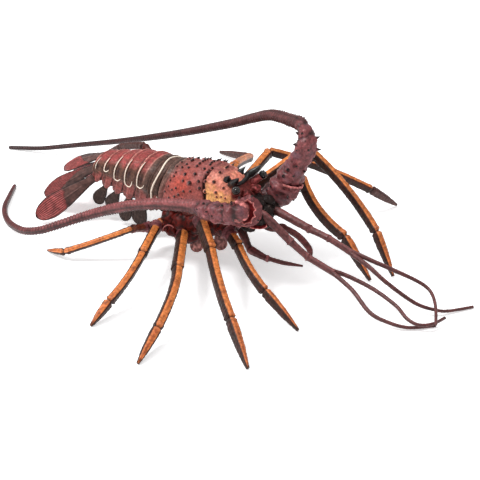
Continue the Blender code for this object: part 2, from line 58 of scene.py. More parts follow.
# The head and thorax, as (x, half width, top, height of the widest line, bottom).
CARAPACE = [
    (-30.0, 12.8, 44.4, 29.5, 19.0),
    (-27.0, 13.8, 45.4, 29.5, 16.0),
    (-20.0, 14.4, 46.4, 30.0, 14.6),
    (-12.0, 14.4, 48.2, 30.5, 14.0),
    (-4.0, 13.6, 49.0, 31.0, 14.2),
    (3.0, 12.9, 47.2, 31.5, 15.0),
    (8.0, 11.7, 44.4, 32.0, 16.4),
    (12.0, 10.2, 41.4, 32.5, 18.4),
    (16.0, 8.0, 38.2, 32.5, 20.6),
    (20.0, 6.2, 35.8, 31.5, 23.0),
    (22.9, 4.4, 33.6, 30.0, 25.4),
]
CARAPACE_REAR = -30.0
CARAPACE_STEP = 0.42
CARAPACE_SIDES = 180
BELLY_SQUARENESS = 0.85
# How far the sides lie behind the back at the carapace's rear edge and along the abdomen.
REAR_SWEEP = 2.4
LOBE_SWEEP = 2.6
# The furrow across the carapace, as (degrees down from the midline, x).
NECK_FURROW = [(0, -4.6), (28, -5.8), (50, -5.6), (62, -4.4), (75, -3.4), (85, -1.0), (100, 3.0), (180, 6.0)]
# Rows of centre, width and height: across the furrow, and along x at the rear edge and on the cheeks.
FURROW_SHAPE = ((0, 0.6, -1.15), (1.4, 0.7, 0.3), (-1.5, 0.8, 0.25))
MARGIN_RIDGES = ((-29.0, 0.7, 0.4), (-26.9, 0.5, -0.45), (-25.9, 0.6, 0.2))
REAR_GROOVES = ((-27.2, 0.5, 1), (-30.6, 0.4, 1))
CHEEK_LINES = ((9.6, 0.35, 1), (7.2, 0.3, 1))
# The front edge of the dark band at the carapace's rear, as (degrees down from the midline, x).
BAND_EDGE = [(0, -24.4), (35, -25.6), (62, -27.2), (90, -29.2)]

# Black-tipped spikes of the carapace's right side as (x, y, length, width); the left side mirrors them.
CARAPACE_SPIKES = [
    (-20.8, 0.6, 1.4, 1.6), (-13.8, 0.8, 1.5, 1.6), (-8.4, 0.9, 1.6, 1.7),
    (-20.8, 4.2, 1.3, 1.6), (-14.0, 2.9, 1.5, 1.7), (-7.8, 2.7, 1.7, 1.8), (-5.2, 4.7, 1.5, 1.7),
    (-21.9, 6.4, 1.2, 1.5), (-18.1, 6.2, 1.3, 1.5), (-13.9, 5.1, 1.5, 1.7), (-8.8, 5.9, 1.6, 1.7),
    (-6.0, 7.2, 1.6, 1.7), (-17.6, 9.4, 1.5, 1.9), (-12.0, 9.0, 1.6, 2.0), (-17.3, 11.5, 1.2, 1.4),
    (-13.1, 11.8, 1.9, 2.5), (-8.5, 10.8, 1.5, 1.9), (-7.0, 12.1, 1.6, 2.0), (-15.6, 13.5, 1.2, 1.4),
    (-11.7, 13.3, 1.1, 1.3), (-4.9, 10.2, 1.2, 1.5), (-3.8, 12.2, 1.2, 1.5), (-23.8, 10.4, 0.9, 1.2),
    (-25.1, 11.6, 0.9, 1.2), (-25.4, 12.8, 0.8, 1.1), (-20.5, 13.2, 0.9, 1.2), (-22.8, 13.4, 0.8, 1.1),
    (-23.7, 9.0, 0.9, 1.2), (-24.8, 3.0, 1.0, 1.3), (-25.2, 6.2, 0.9, 1.2),
    (-0.5, 4.9, 1.5, 1.9), (-0.2, 0.5, 1.4, 1.8), (-0.7, 9.2, 1.7, 2.1), (4.7, 9.0, 1.4, 1.5),
    (1.9, 11.2, 1.4, 1.6), (2.8, 11.8, 0.7, 1.0), (4.9, 11.1, 0.6, 1.0), (6.9, 10.6, 0.6, 1.0),
]
# The low spikes on its flanks, as (x, z).
LOW_SPIKES = [
    (-27.0, 33.5), (-18.3, 34.4), (-16.6, 32.7), (-20.8, 32.7), (-24.5, 31.0), (-13.0, 31.0),
    (-9.5, 34.0),
]
CHEEK_SPIKE = (4.4, 5.3, 3.2, 3.3)
# Spikes behind this x have dusty feet, and the ones before it have the front's colour.
BACK_END = -4
# A spike's rings as (share of its length, share of its width), and how far it leans forward.
SPIKE_PROFILE = ((-0.3, 1.45), (0.0, 1.1), (0.2, 0.8), (0.45, 0.52), (0.75, 0.28), (1.0, 0.08))
SPIKE_LEAN = 0.22
SPIKE_SIDES = 12
UPRIGHT = 0.9

# The left horn and the arched rim between the horns, as (x, y, z, radius).
HORN = [
    (6.0, 6.2, 43.0, 1.0), (7.2, 6.5, 43.9, 1.6), (9.2, 7.2, 45.4, 1.8), (11.4, 8.2, 47.4, 1.3),
    (13.5, 9.0, 49.7, 0.3),
]
BROW = [
    (8.2, -6.2, 44.3, 1.2), (9.0, -3.4, 43.5, 1.0), (9.3, 0.0, 43.4, 1.0), (9.0, 3.4, 43.8, 1.15),
    (8.2, 6.2, 44.6, 1.3),
]
HORN_SIDES = 28
BROW_SIDES = 24
FINE_STEP = 0.3

# The abdomen as (x, half width, top, height of the widest line, lowest edge of the side plates).
ABDOMEN = [
    (-30.2, 12.6, 43.6, 30.0, 24.0),
    (-36.0, 13.9, 44.2, 30.0, 18.8),
    (-45.0, 13.1, 44.2, 31.0, 19.6),
    (-53.6, 12.1, 43.0, 30.6, 20.4),
    (-61.4, 11.1, 40.6, 30.2, 20.6),
    (-69.0, 10.3, 38.8, 29.8, 21.4),
    (-77.0, 9.2, 36.6, 29.0, 22.2),
]
ARCH_SQUARENESS = 0.84
RING_STEPS = 26
# Steps down one half of the arch, then between two corners below it, and the degrees that these count.
ARCH_HALF = 60
EDGE_POINTS = 14
EDGE_DEGREES = 9
# The side plates and the hollow between them, as shares of the half width and as heights.
PLATE_OUTSIDE = 0.9
PLATE_EDGE = 0.82
PLATE_INSIDE = 0.66
BELLY_EDGE = 0.4
INNER_EDGE_RISE = 0.6
BELLY_RISE = 3.6
BELLY_THICKNESS = 2
PLATE_GAP_RISE = 4.4
# How far each ring's surface lies under its full size, from its front edge to its rear edge.
RING_SHRINK = [(0.0, 1.0), (0.1, 0.7), (0.35, 0.35), (0.7, 0.0), (0.9, 0.0), (0.97, 0.15), (1.0, 0.6)]
# How much of the gap's rise the side plates' lower edge has along a ring.
LOBE_RISE = [
    (0.0, 1.3), (0.06, 0.8), (0.2, 0.32), (0.45, 0.04), (0.7, 0.0), (0.9, 0.22), (0.96, 0.6),
    (1.0, 1.3),
]
# How far the rings' sides lie behind the back, by x.
RING_SWEEP = [(-77, 1.4), (-45, 1.7), (-36, REAR_SWEEP), (-30, REAR_SWEEP)]
# Ridges and grooves across a ring, as centre and width in shares of the ring, and height.
RING_RIDGES = ((0.93, 0.035, 0.34), (0.81, 0.05, -0.3), (0.6, 0.05, 0.2))
# Each ring's cream line: degrees from the back's middle where it starts and ends, its radius, and the
# length and turn of the hook at its lower end, in shares of the ring and in degrees. Then its place
# along the ring and how far it bows backwards, in shares of the ring.
CREAM_LINES = [
    (0, 101, 0.44, 0.5, 7, 0.70, -0.25), (32, 89, 0.27, 0.5, 6, 0.82, 0.05),
    (34, 93, 0.28, 0.55, 6, 0.82, 0.05), (24, 91, 0.27, 0.5, 1, 0.82, 0.05),
    (34, 81, 0.26, 0.36, 5, 0.82, 0.05), (34, 82, 0.19, 0.0, 0, 0.66, 0.05),
]
LINE_POINTS = 41
HOOK_POINTS = 13
LINE_SIDES = 10

# Each leg as root, hip, knee, shin, ankle and tip, then the thickness of its thigh.
LEGS = {
    "leg_right_1": (
        (2, -8, 20), (9, -12, 22.5), (19.3, -17.3, 19.5), (31.6, -25.8, 15.5), (43.7, -30.4, 10),
        (66.1, -36.7, 0), 5.6),
    "leg_right_2": (
        (-7, -8.5, 19), (-4.4, -16, 27), (13.4, -30.6, 21.5), (29.6, -46.3, 16.5), (45.9, -59.5, 10.5),
        (65.6, -74.1, 0), 6.2),
    "leg_right_3": (
        (-14, -8, 17), (-17, -12.8, 15), (5.7, -45.8, 16), (15, -61.3, 13.5), (22.3, -81.1, 8),
        (25.8, -98.3, 0), 6.2),
    "leg_right_4": (
        (-21, -8, 17), (-29.5, -17, 16), (-17.6, -42.8, 15), (-11.7, -60.3, 12), (-10.5, -74.7, 7),
        (-10.4, -87.7, 0), 5.6),
    "leg_right_5": (
        (-28, -7, 17), (-35, -16.5, 13), (-35.8, -29.4, 17), (-45, -38, 12.6), (-62.3, -48.9, 4.5),
        (-74.8, -47.7, 0), 4.4),
    "leg_left_1": (
        (2, 8, 20), (6, 18, 26), (24.2, 27.5, 39.4), (34.2, 27, 25.2), (51.0, 25.5, 16.2),
        (69.1, 20.1, 0), 6.2),
    "leg_left_2": (
        (-6, 8.5, 19), (-2, 17, 27), (16.7, 44, 46.6), (40.6, 40.6, 34), (63.1, 34, 19),
        (76, 29.8, 0), 5.8),
    "leg_left_3": (
        (-13.6, 8, 18), (-9, 17, 25), (-6.3, 45, 38.7), (11.8, 62, 29), (32.2, 82, 13.8),
        (39.3, 97.5, 0), 5.4),
    "leg_left_4": (
        (-21, 8, 17), (-24, 17, 21), (-26, 42, 27), (-37.6, 65, 18.2), (-49.3, 88, 8.4),
        (-77.4, 97.6, 0), 5.6),
    "leg_left_5": (
        (-28, 7, 16), (-43, 18.6, 13), (-75, 28, 30), (-84.4, 30, 27.1), (-94.8, 32, 22.6),
        (-112, 36, 11), 4.8),
}
SHIN_SEGMENT = 2
TIP_SEGMENT = 3
LAST_LEG = 5
LEG_STEP = 0.55
LEG_RIB = 1.9
# Collars and the dent between them, by distance from the hip: centre, width and height.
HIP_COLLARS = ((1.2, 0.8, 0.7), (4.0, 0.8, 0.5), (2.7, 0.6, -0.3))
# The lumps that the legs grow from on one side, as (x, y, z, three radii), and pale rims on them, as
# (x, y, z, radius, first and last degree).
COXAE = [
    (-24.5, 12.0, 19.2, 5.4, 5.0, 5.0), (-26.6, 12.8, 17.0, 3.6, 3.4, 3.6),
    (-17.6, 12.8, 19.0, 6.0, 4.8, 5.4), (-9.5, 12.2, 20.4, 5.6, 4.8, 5.4),
    (-1.5, 11.4, 21.5, 5.4, 4.4, 5.0), (6.0, 10.4, 22.5, 5.0, 4.2, 4.6),
    (-21.4, 13.8, 15.2, 3.6, 3.4, 3.8), (-25.4, 15.0, 16.0, 3.0, 2.8, 3.2),
    (-20.8, 16.4, 15.4, 3.0, 3.0, 2.9), (-18.6, 12.8, 12.4, 4.0, 3.6, 3.4),
    (-12.4, 12.6, 13.8, 4.2, 3.8, 4.4),
]
COXA_RIMS = [(-27.0, 17.4, 17.6, 2.6, 120, 250), (-20.6, 19.4, 16.4, 2.8, 30, 190)]
LUMP_SIDES = 40
LUMP_POLE_GAP = 0.04
LUMP_ROUGHNESS = 0.7
HOOP_POINTS = 60
HOOP_SIDES = 16

# A leg's segments, as (share along, share of the thickness), and its stripe in degrees from its top.
LEG_SIDES = 44
SEGMENT_PROFILE = ((0.0, 0.84), (0.06, 0.98), (0.55, 0.96), (0.9, 0.98), (1.0, 0.92))
TIP_PROFILE = ((0.0, 0.84), (0.16, 1.0), (0.6, 0.78), (0.92, 0.42), (1.0, 0.3))
SEGMENT_THICKNESS = (1.08, 1.0, 0.86, 0.88)
LEG_FLATNESS = 0.86
LEG_BOXINESS = 0.58
LEG_TURN = 16
LEG_TURNS = {"leg_right_2": 20, "leg_right_3": 32, "leg_right_5": 50, "leg_left_1": 0, "leg_left_2": 0}
TIP_RADIUS = 0.9
STRIPE_HALF_ANGLE = 35
FAR_STRIPE_HALF_ANGLES = {"leg_left_1": 31, "leg_left_2": 31, "leg_left_3": 33, "leg_left_4": 80}

# Legs that turn dark, from this segment on: 0 is the root's and 3 is the claw.
DARK_LEGS = {"leg_left_3": 3, "leg_left_4": 3, "leg_left_5": 0}

# Long feelers as (x, y, z, radius) along the middle of the feeler.
LEFT_ANTENNA = [
    (9, 7.5, 29.5, 4.4), (13, 10.6, 30.2, 5.2), (18, 13.6, 33, 6.2), (21.4, 15.4, 36.8, 7.2),
    (22.6, 16, 39.2, 7.6), (23.4, 16.4, 41.2, 6.0), (25.4, 16.8, 45.4, 6.2), (28, 17.3, 50.6, 5.0),
    (29.4, 17.5, 53.4, 4.6), (32.4, 18, 60.4, 5.0), (31.8, 19.4, 65.8, 4.1), (26, 23, 69, 3.2),
    (19.6, 26, 68.1, 2.9), (3.6, 32, 65.2, 2.7), (-11.1, 36, 58.6, 2.5), (-26.2, 39, 51.1, 2.35),
    (-55.4, 43, 38.2, 2.1), (-78.9, 46, 28.5, 1.9), (-109.1, 48, 17.2, 1.6), (-136, 44.8, 9.2, 1.45),
    (-148.4, 40.4, 6.3, 1.35), (-160.6, 36.6, 3.5, 1.25), (-173.8, 32.7, 1.7, 1.15), (-180, 30.3, 1.3, 1.0),
]
LEFT_KNOBBY_LENGTH = 54
RIGHT_ANTENNA_BASE = [
    (9, -7.5, 29.5, 4.4), (14, -11, 31.6, 5.0), (19, -13.8, 35.4, 5.8), (23.4, -15.8, 38.5, 6.8),
    (24.6, -16.3, 39.2, 7.2),
]
RIGHT_ANTENNA = [
    (24.4, -18.6, 39.4, 3.6), (21.5, -21.6, 39.4, 4.7), (13.2, -23, 37.5, 4.9), (5, -23.6, 37, 4.4),
    (0.6, -24, 36.8, 3.6), (-4, -24.6, 36.9, 3.0), (-18.2, -28, 35, 2.7), (-27, -30, 33, 2.6),
    (-38.1, -32, 29.3, 2.45), (-51, -33, 23.4, 2.3), (-61.5, -35.9, 18.5, 2.15), (-70.9, -41.2, 14, 2.0),
    (-80.7, -45.5, 9.5, 1.9), (-91, -46.9, 6.5, 1.8), (-102.7, -44.1, 5, 1.7), (-112.4, -38.8, 4.3, 1.6),
    (-122.1, -30.1, 3.5, 1.5), (-130.7, -18.7, 2.5, 1.35), (-140.1, -5.2, 1.3, 1.1),
]
RIGHT_KNOBBY_LENGTH = 24
# Spines of the feelers' thick ends, as root, direction, length and width.
LEFT_SPINES = [
    ((30.2, 16.6, 67.0), (-0.75, -0.5, 0.4), 3.2, 3.0), ((31.0, 14.8, 63.0), (-0.85, -0.6, 0.0), 3.8, 3.4),
    ((31.4, 14.2, 60.0), (-0.7, -0.7, 0.2), 2.2, 2.6), ((29.9, 14.2, 55.6), (-0.7, -0.6, 0.3), 2.0, 2.6),
    ((36.3, 19.5, 65.5), (0.7, 0.4, 0.5), 2.4, 2.6), ((37.2, 19.0, 60.5), (0.9, 0.3, 0.1), 2.4, 2.4),
    ((33.8, 19.6, 53.6), (0.9, 0.4, 0.2), 2.4, 2.4), ((31.5, 16.4, 67.6), (-0.1, -0.7, 0.7), 1.8, 2.4),
    ((35.4, 15.0, 61.1), (0.7, -0.6, 0.4), 1.8, 2.4), ((33.8, 15.5, 65.0), (0.2, -0.9, 0.4), 1.6, 2.2),
    ((26.8, 12.4, 49.7), (0.1, -0.9, 0.5), 2.4, 3.4), ((25.2, 11.4, 46.4), (-0.2, -0.9, 0.4), 2.4, 3.2),
    ((30.6, 13.6, 52.4), (0.2, -0.95, 0.1), 1.6, 2.4), ((32.4, 16.3, 49.0), (0.9, -0.3, 0.2), 1.8, 2.2),
    ((29.4, 12.6, 47.3), (0.5, -0.8, 0.1), 1.6, 2.4), ((19.4, 10.0, 39.8), (-0.5, -0.7, 0.5), 1.8, 2.4),
    ((23.2, 10.4, 40.0), (0.1, -0.95, 0.2), 1.6, 2.6), ((27.2, 11.0, 37.2), (0.5, -0.7, -0.3), 2.2, 2.4),
    ((28.5, 17.0, 38.3), (0.9, 0.1, -0.4), 2.0, 2.4), ((22.8, 9.4, 37.0), (0.1, -0.95, 0.1), 1.6, 2.4),
    ((17.0, 9.9, 37.5), (-0.5, -0.75, 0.4), 1.4, 2.4), ((27.9, 14.2, 34.6), (0.8, -0.4, -0.5), 1.8, 2.2),
]
RIGHT_SPINES = [
    ((5.3, -25.3, 40.6), (0.3, -0.3, 0.9), 1.6, 2.4), ((15.5, -24.6, 42.0), (0.0, -0.3, 0.9), 1.8, 2.6),
    ((19.4, -22.6, 43.3), (0.1, -0.4, 0.9), 1.8, 2.4), ((3.4, -27.0, 38.3), (0.2, -0.9, 0.3), 1.5, 2.2),
    ((12.1, -27.5, 37.6), (0.1, -0.9, 0.3), 1.3, 2.0), ((9.3, -28.2, 38.9), (0.1, -0.5, 0.9), 1.2, 2.0),
    ((20.4, -18.0, 44.4), (-0.1, -0.1, 0.95), 1.8, 2.4), ((24.4, -14.6, 45.0), (0.3, 0.2, 0.9), 1.8, 2.2),
    ((20.6, -14.4, 42.0), (0.1, 0.2, 0.95), 1.6, 2.4), ((29.4, -17.0, 36.6), (0.9, 0.1, -0.3), 1.6, 2.0),
    ((27.0, -20.0, 33.8), (0.5, -0.5, -0.7), 1.6, 2.0), ((22.6, -21.6, 32.8), (0.1, -0.6, -0.8), 1.6, 2.0),
    ((17.6, -16.0, 40.6), (-0.2, 0.1, 0.95), 1.3, 2.2), ((18.0, -20.6, 43.0), (-0.3, -0.3, 0.9), 1.5, 2.2),
]
ANTENNA_STEP = 0.42
ANTENNA_SIDES = 40
RIGHT_BASE_SIDES = 84
FRILL_SIDES = 96
FRILL_DEPTH = 5.0
SLIM_RADIUS = 2.4
ANNULUS = 1.75
KNOB_SHADE = 15.0
COLLAR_AT = 4.4
TIP_SHADE = 0.55

# Small feelers as a stem, then the two whips that it splits into.
LEFT_STEM = [
    (18, 4.6, 31.8, 2.0), (22.8, 5, 31.4, 2.1), (42.4, 5, 27.4, 1.9), (44, 5, 27, 2.3), (45.4, 5, 26.8, 1.7),
    (53.4, 5, 25.6, 1.6), (54.8, 5, 25.3, 1.9), (56, 5, 25, 1.5), (66.8, 6, 21.1, 1.6),
]
LEFT_WHIPS = [
    [(64.8, 6, 21.9, 1.2), (75.4, 7.7, 19.5, 1.05), (85.4, 10.6, 16.5, 1.0), (95.4, 14.6, 12.5, 0.9),
     (100.8, 15.8, 10, 0.85), (105.1, 13.6, 8.5, 0.8), (110.3, 7.2, 7, 0.75), (116.3, -3.6, 5.5, 0.7)],
    [(64.8, 5.6, 21.7, 1.2), (77.1, 4.1, 18, 1.05), (87.3, 3.2, 13.5, 1.0), (100.3, 6.5, 6, 0.9),
     (108.5, 11.1, 3, 0.8), (112.7, 16.2, 1.5, 0.75), (119.4, 26.9, 0.8, 0.7)],
]
RIGHT_STEM = [
    (18, -4.4, 33, 2.0), (25.7, -5, 32.2, 2.1), (38.2, -4.1, 23.8, 1.9), (39.6, -4, 22.8, 2.3),
    (40.8, -3.9, 22, 1.7), (47.6, -3.1, 17.7, 1.6), (48.8, -3, 17, 2.0), (50.2, -2.9, 16.6, 1.6),
    (62.4, -2, 12.8, 1.6),
]
RIGHT_WHIPS = [
    [(60.4, -2.1, 13.4, 1.2), (74.3, -5.4, 9.5, 1.05), (86.8, -10.9, 5, 1.0), (96, -10.7, 3, 0.9),
     (104.7, -7.1, 1.5, 0.8), (113.3, 2.4, 0.8, 0.7)],
    [(60.4, -1.8, 13.4, 1.2), (67.4, 1.2, 11.5, 1.05), (81, 1.7, 9, 1.0), (94.8, -1.3, 6.5, 0.9),
     (103, -5.4, 4.6, 0.85), (108.9, -5.4, 3.6, 0.8), (113.2, -0.6, 3.2, 0.75), (114.4, 9, 2, 0.7)],
]
WHIP_STEP = 0.5
SMALL_FEELERS = {"feeler_left": (LEFT_STEM, *LEFT_WHIPS), "feeler_right": (RIGHT_STEM, *RIGHT_WHIPS)}
WHIP_SIDES = 14
WHIP_RADIUS_MIN = 0.4
WHIP_RING = 1.5
# The shine on top of a thin limb, by how far it faces up: centre, width and height.
TOP_LIGHTS = ((0.9, 0.12, 0.55), (0.55, 0.16, -0.45))

# Feeding limbs under the head.
JAW_LEGS = {
    "jaw_leg_right": [
        (11.6, -5.6, 24, 2.1), (14.6, -7, 20.3, 2.1), (18.8, -7.9, 14.8, 1.7), (20.4, -8, 13.8, 2.1),
        (27.4, -7.1, 11.8, 1.5), (29, -7, 11.7, 1.8), (30.4, -6.6, 11.6, 1.15), (37, -5, 11.1, 1.1),
        (44.8, -1, 10.2, 0.5),
    ],
    "jaw_leg_left": [
        (15, 3.8, 23.6, 2.0), (22.5, 4, 21.6, 1.9), (28.3, 6, 22.6, 1.9), (30, 6.2, 22.4, 1.5),
        (36.5, 7, 20.1, 1.6), (42.8, 7, 15.4, 1.5), (44.4, 6, 11.6, 0.9),
    ],
}
EYE_CENTRE = (13.2, 10.8, 44.1)
EYE_RADIUS = 2.2
EYE_ROWS = 60
EYE_SIDES = 48
EYE_POLE_GAP = 0.02
# Rings of an eye, by degrees from its middle: centre, width and height or lightness.
EYE_RIDGES = ((46, 9, 0.07), (30, 8, -0.1), (66, 7, -0.06))
EYE_LIGHTS = ((22, 5, 1), (44, 5, 1), (62, 4, 0.7))
STALK = [(7.6, 5.0, 38.4, 2.2), (10.4, 7.6, 41.2, 1.9), (12.4, 10.0, 43.4, 1.8)]
STALK_SIDES = 24

# Dark lumps of the face, as (x, y, z, three radii), and the plate under it.
FACE_LUMPS = [
    (20.5, -3.2, 36.6, 3.2, 3.4, 2.8), (21.5, 3.0, 35.8, 3.4, 3.4, 2.8), (23.5, -1.0, 32.6, 3.2, 4.0, 3.4),
    (24.0, -6.2, 30.6, 3.0, 3.2, 3.2), (23.0, 5.6, 31.0, 3.2, 3.4, 3.2), (18.0, -7.0, 26.6, 4.0, 4.0, 3.6),
    (18.0, 6.6, 26.6, 4.0, 4.0, 3.6), (24.0, -2.0, 27.4, 3.4, 4.6, 2.6),
]
LIP_PLATE = ((15.0, -11.4, 27.6), (27.6, -5.8, 28.2), (0.1, -0.5, 0.87), 4.6, 1.0)

# Flat plates as base, tip, facing direction, width and thickness; the right ones are mirrored.
TELSON = ((-78.0, 0, 34.4), (-106, 0, 20.6), (-0.45, -0.36, 0.82), 13.0, 1.8)
TAIL_PLATES = {
    "inner": ((-78.2, -6.0, 29.6), (-110.0, -12.6, 8.8), (-0.15, -0.6, 0.78), 13.0, 1.6),
    "outer": ((-78.0, -8.0, 24.6), (-100.2, -29.2, 4.0), (0.45, -0.79, 0.39), 11.6, 1.6),
}
# How much further the dark part of a plate reaches along its lower edge than its middle, and a painted
# shade factor on its whole colour: darker on the inner plates, a touch lighter on the outer ones.
TELSON_TILT = 0.24
TAIL_TILT_AND_SHADE = {"inner": (0.26, 0.82), "outer": (0.05, 1.04)}
TAIL_RIB = 1.15
SWIMMERETS = [
    ((-45.6, -8.6, 21.5), (-48.8, -9.4, 7.4), 9.0),
    ((-54.0, -8.2, 21.5), (-58.6, -9.2, 6.6), 7.6),
    ((-62.4, -7.6, 21.5), (-68.6, -8.8, 10.4), 7.6),
    ((-71.0, -7.0, 21.6), (-77.4, -8.6, 10.8), 7.2),
]
SWIMMERET_THICKNESS = 1.8
SWIMMERET_FACING = (0.15, -1, 0)
BELLY_FLAPS = {
    "belly_flap_right": ((-13.0, -4.6, 13.4), (-14.6, -6.4, 1.2), 6.8),
    "belly_flap_left": ((-6.6, 2.2, 13.4), (-5.6, 2.6, 1.2), 6.8),
}
FLAP_THICKNESS = 3.0
FLAP_FACING = (0.6, -0.8, 0)
# A plate's width by its share along, the widest that its last rings can be, and its section.
PLATE_PROFILE = (
    (0.0, 0.36), (0.14, 0.44), (0.34, 0.7), (0.56, 0.93), (0.76, 1.0), (0.89, 0.8), (0.96, 0.52), (1.0, 0.2),
)
PLATE_END = (0.5, 0.42, 0.33, 0.22, 0.1)
PLATE_SQUARENESS = 0.6
PLATE_THINNING = 0.45
PLATE_STEPS = 70
PLATE_SIDES = 168

# The painted materials: the grain's size, and the ranges that the noise is read in.
GRAIN_SIZE = 1.0
NOISE_DETAIL = 4
NOISE_RANGE = (0.3, 0.7)
HOLLOW_RANGE = (0.36, 0.62)
BUMP_STRENGTH = 0.8


def srgb(red, green, blue):
    """A colour given as 0 to 255 on screen, as the linear values that the shader reads."""
    shares = np.array((red, green, blue)) / 255
    return np.where(shares <= 0.04045, shares / 12.92, ((shares + 0.055) / 1.055) ** 2.4)


SHELL_DUSTY = srgb(156, 86, 81)
SHELL_GLOW = srgb(192, 84, 70)
SHELL_FRONT = srgb(236, 150, 128)
SHELL_ORANGE = srgb(255, 184, 118)
BAND_DARK = srgb(94, 69, 60)
# Painted shade on the undersides of the carapace and the abdomen.
BELLY_SHADE = srgb(74, 32, 28)
FURROW = srgb(36, 12, 9)
SPIKE_TIP = srgb(22, 14, 14)
BLACK_PAINT = srgb(16, 17, 18)
HORN_SHEEN = srgb(70, 78, 74)
EYE_GREY = srgb(120, 110, 106)
# A painted highlight in grey for the tops of the face's dark lumps.
FACE_HIGHLIGHT_GREY = srgb(132, 116, 108)
CREAM = srgb(255, 238, 220)
BACK_RED = srgb(160, 70, 68)
# A painted highlight, pale pink, on raised ridges and edges.
RIDGE_HIGHLIGHT = srgb(226, 158, 144)
SIDE_GREY = srgb(104, 70, 56)
SIDE_STAIN = srgb(44, 22, 24)
LOBE_RED = srgb(150, 76, 70)
TAIL_RED = srgb(160, 70, 68)
TAIL_DARK = srgb(90, 62, 57)
TAIL_EDGE = srgb(50, 38, 36)
PADDLE = srgb(60, 43, 38)
FEELER_PINK = srgb(150, 82, 82)
# A shaded copy of the feeler pink for the far feeler: painted shade.
FEELER_FAR_SHADED = srgb(102, 56, 56)
FEELER_DARK = srgb(82, 46, 46)
ARM_PURPLE = srgb(126, 66, 68)
ARM_GREY = srgb(94, 72, 84)
RIM_PINK = srgb(206, 120, 116)
SOCKET_RED = srgb(118, 32, 34)
WHIP = srgb(102, 58, 57)
JAW = srgb(88, 38, 37)
LEG_ORANGE = srgb(230, 138, 72)
LEG_RUST = srgb(166, 82, 50)
LEG_FLANK = srgb(48, 32, 26)
LEG_MAROON = srgb(96, 40, 34)
COLLAR_PURPLE = srgb(112, 58, 62)
DARK_CLAW = srgb(98, 68, 64)
COXA = srgb(88, 20, 15)
FLAP_PINK = srgb(156, 104, 98)
STALK_RED = srgb(168, 78, 78)
FACE_DARK = srgb(34, 23, 21)
FACE_RED = srgb(116, 46, 42)
# A socket's rim as (share of its depth, share of its radius, colour), from its foot up and into its cup.
FRILL_PROFILE = [
    (-1.0, 0.62, COXA), (-0.75, 0.76, ARM_PURPLE), (-0.4, 0.86, ARM_PURPLE), (-0.25, 0.93, FEELER_DARK),
    (-0.1, 0.97, RIM_PINK), (0.03, 1.0, RIM_PINK), (0.03, 0.93, RIM_PINK), (-0.12, 0.86, SOCKET_RED),
    (-0.4, 0.76, SOCKET_RED), (-0.5, 0.5, SOCKET_RED), (-0.5, 0.1, SOCKET_RED),
]


def place(points):
    """Animal millimetres as row-frame metres."""
    return (np.asarray(points, float) + ORIGIN) * MM


def mirrored(point):
    return (point[0], -point[1], *point[2:])


def unit(vectors):
    """The vectors at length 1."""
    return vectors / np.linalg.norm(vectors, axis=-1, keepdims=True)


def turns(count):
    """Angles spread evenly over one turn."""
    return 2 * np.pi * np.arange(count) / count


def axes_across(direction, reference=(0.0, 0.0, 1.0)):
    """Two directions at right angles to the given one and to each other."""
    side = unit(np.cross(direction, reference))
    return side, np.cross(side, direction)


def mix(first, second, share):
    """Two colours blended by a share, kept from 0 to 1, of any array shape."""
    share = np.clip(np.asarray(share, float), 0, 1)[..., None]
    return first * (1 - share) + second * share


def coats(colour, *layers):
    """The colour with each (colour, share) layer brushed over it in turn."""
    for layer, share in layers:
        colour = mix(colour, layer, share)
    return colour


def ease(value, low, high):
    """Smooth step from 0 at low to 1 at high."""
    share = np.clip((np.asarray(value, float) - low) / (high - low), 0, 1)
    return share * share * (3 - 2 * share)


def fade(value, low, high):
    """Smooth step from 1 at low to 0 at high."""
    return 1 - ease(value, low, high)


def bump(value, centre, width):
    """A smooth hump of height 1."""
    return np.exp(-((np.asarray(value, float) - centre) / width) ** 2)


def bumps(value, rows):
    """Smooth humps and dents added up, from rows of centre, width and height."""
    return sum(height * bump(value, centre, width) for centre, width, height in rows)


def table(value, rows):
    """Straight-line reading of a list of (position, value) rows."""
    places, values = zip(*rows)
    return np.interp(value, places, values)


def read_noise(points, size, seed, read):
    flat = np.asarray(points, float).reshape(-1, 3) / size + seed
    return np.array([read(Vector(point)) for point in flat]).reshape(np.shape(points)[:-1])


def cloud(points, size, seed=0.0):
    """Smooth noise from -1 to 1 at each point, with lumps of about the given size."""
    return read_noise(points, size, seed, noise.noise)


def knobs(points, size, seed=0.0):
    """Rounded bumps of about the given size that meet in creases, from -0.5 to 1."""
    distance = read_noise(points, size, seed, lambda point: noise.voronoi(point)[0][0])
    return np.clip(1 - 1.5 * distance, -0.5, 1)


def cavity(colour, relief, depth, strength=0.8):
    """The colour with painted shade in the hollows and a painted highlight on the bumps, over the toy's own
    darker washing and dry-brushing.
    """
    share = np.clip(relief / depth, -1, 1)
    return colour * (1 + strength * share + 0.3 * strength * share ** 2)[..., None]


def smooth_route(points, step):
    """Points about one step apart on a smooth curve through the given points, each of any size."""
    route = []
    last = len(points) - 1
    for i in range(last):
        before, start = points[max(i - 1, 0)], points[i]
        end, after = points[i + 1], points[min(i + 2, last)]
        pieces = max(1, round(math.dist(start[:3], end[:3]) / step))
        for k in range(pieces):
            t = k / pieces
            route.append([
                b + 0.5 * t * (c - a + t * (2 * a - 5 * b + 4 * c - d + t * (3 * (b - c) + d - a)))
                for a, b, c, d in zip(before, start, end, after)])
    route.append(list(points[-1]))
    return np.array(route, float)


def smoothed(rows, rounds):
    """Rows of values, each one drawn towards its neighbours some number of times."""
    for _ in range(rounds):
        rows[1:-1] = (rows[:-2] + 2 * rows[1:-1] + rows[2:]) / 4
    return rows


def raw_normals(grid):
    along = np.gradient(grid, axis=0)
    around = (np.roll(grid, -1, axis=1) - np.roll(grid, 1, axis=1)) / 2
    normal = np.cross(around, along)
    return normal / np.maximum(np.linalg.norm(normal, axis=2, keepdims=True), TINY)


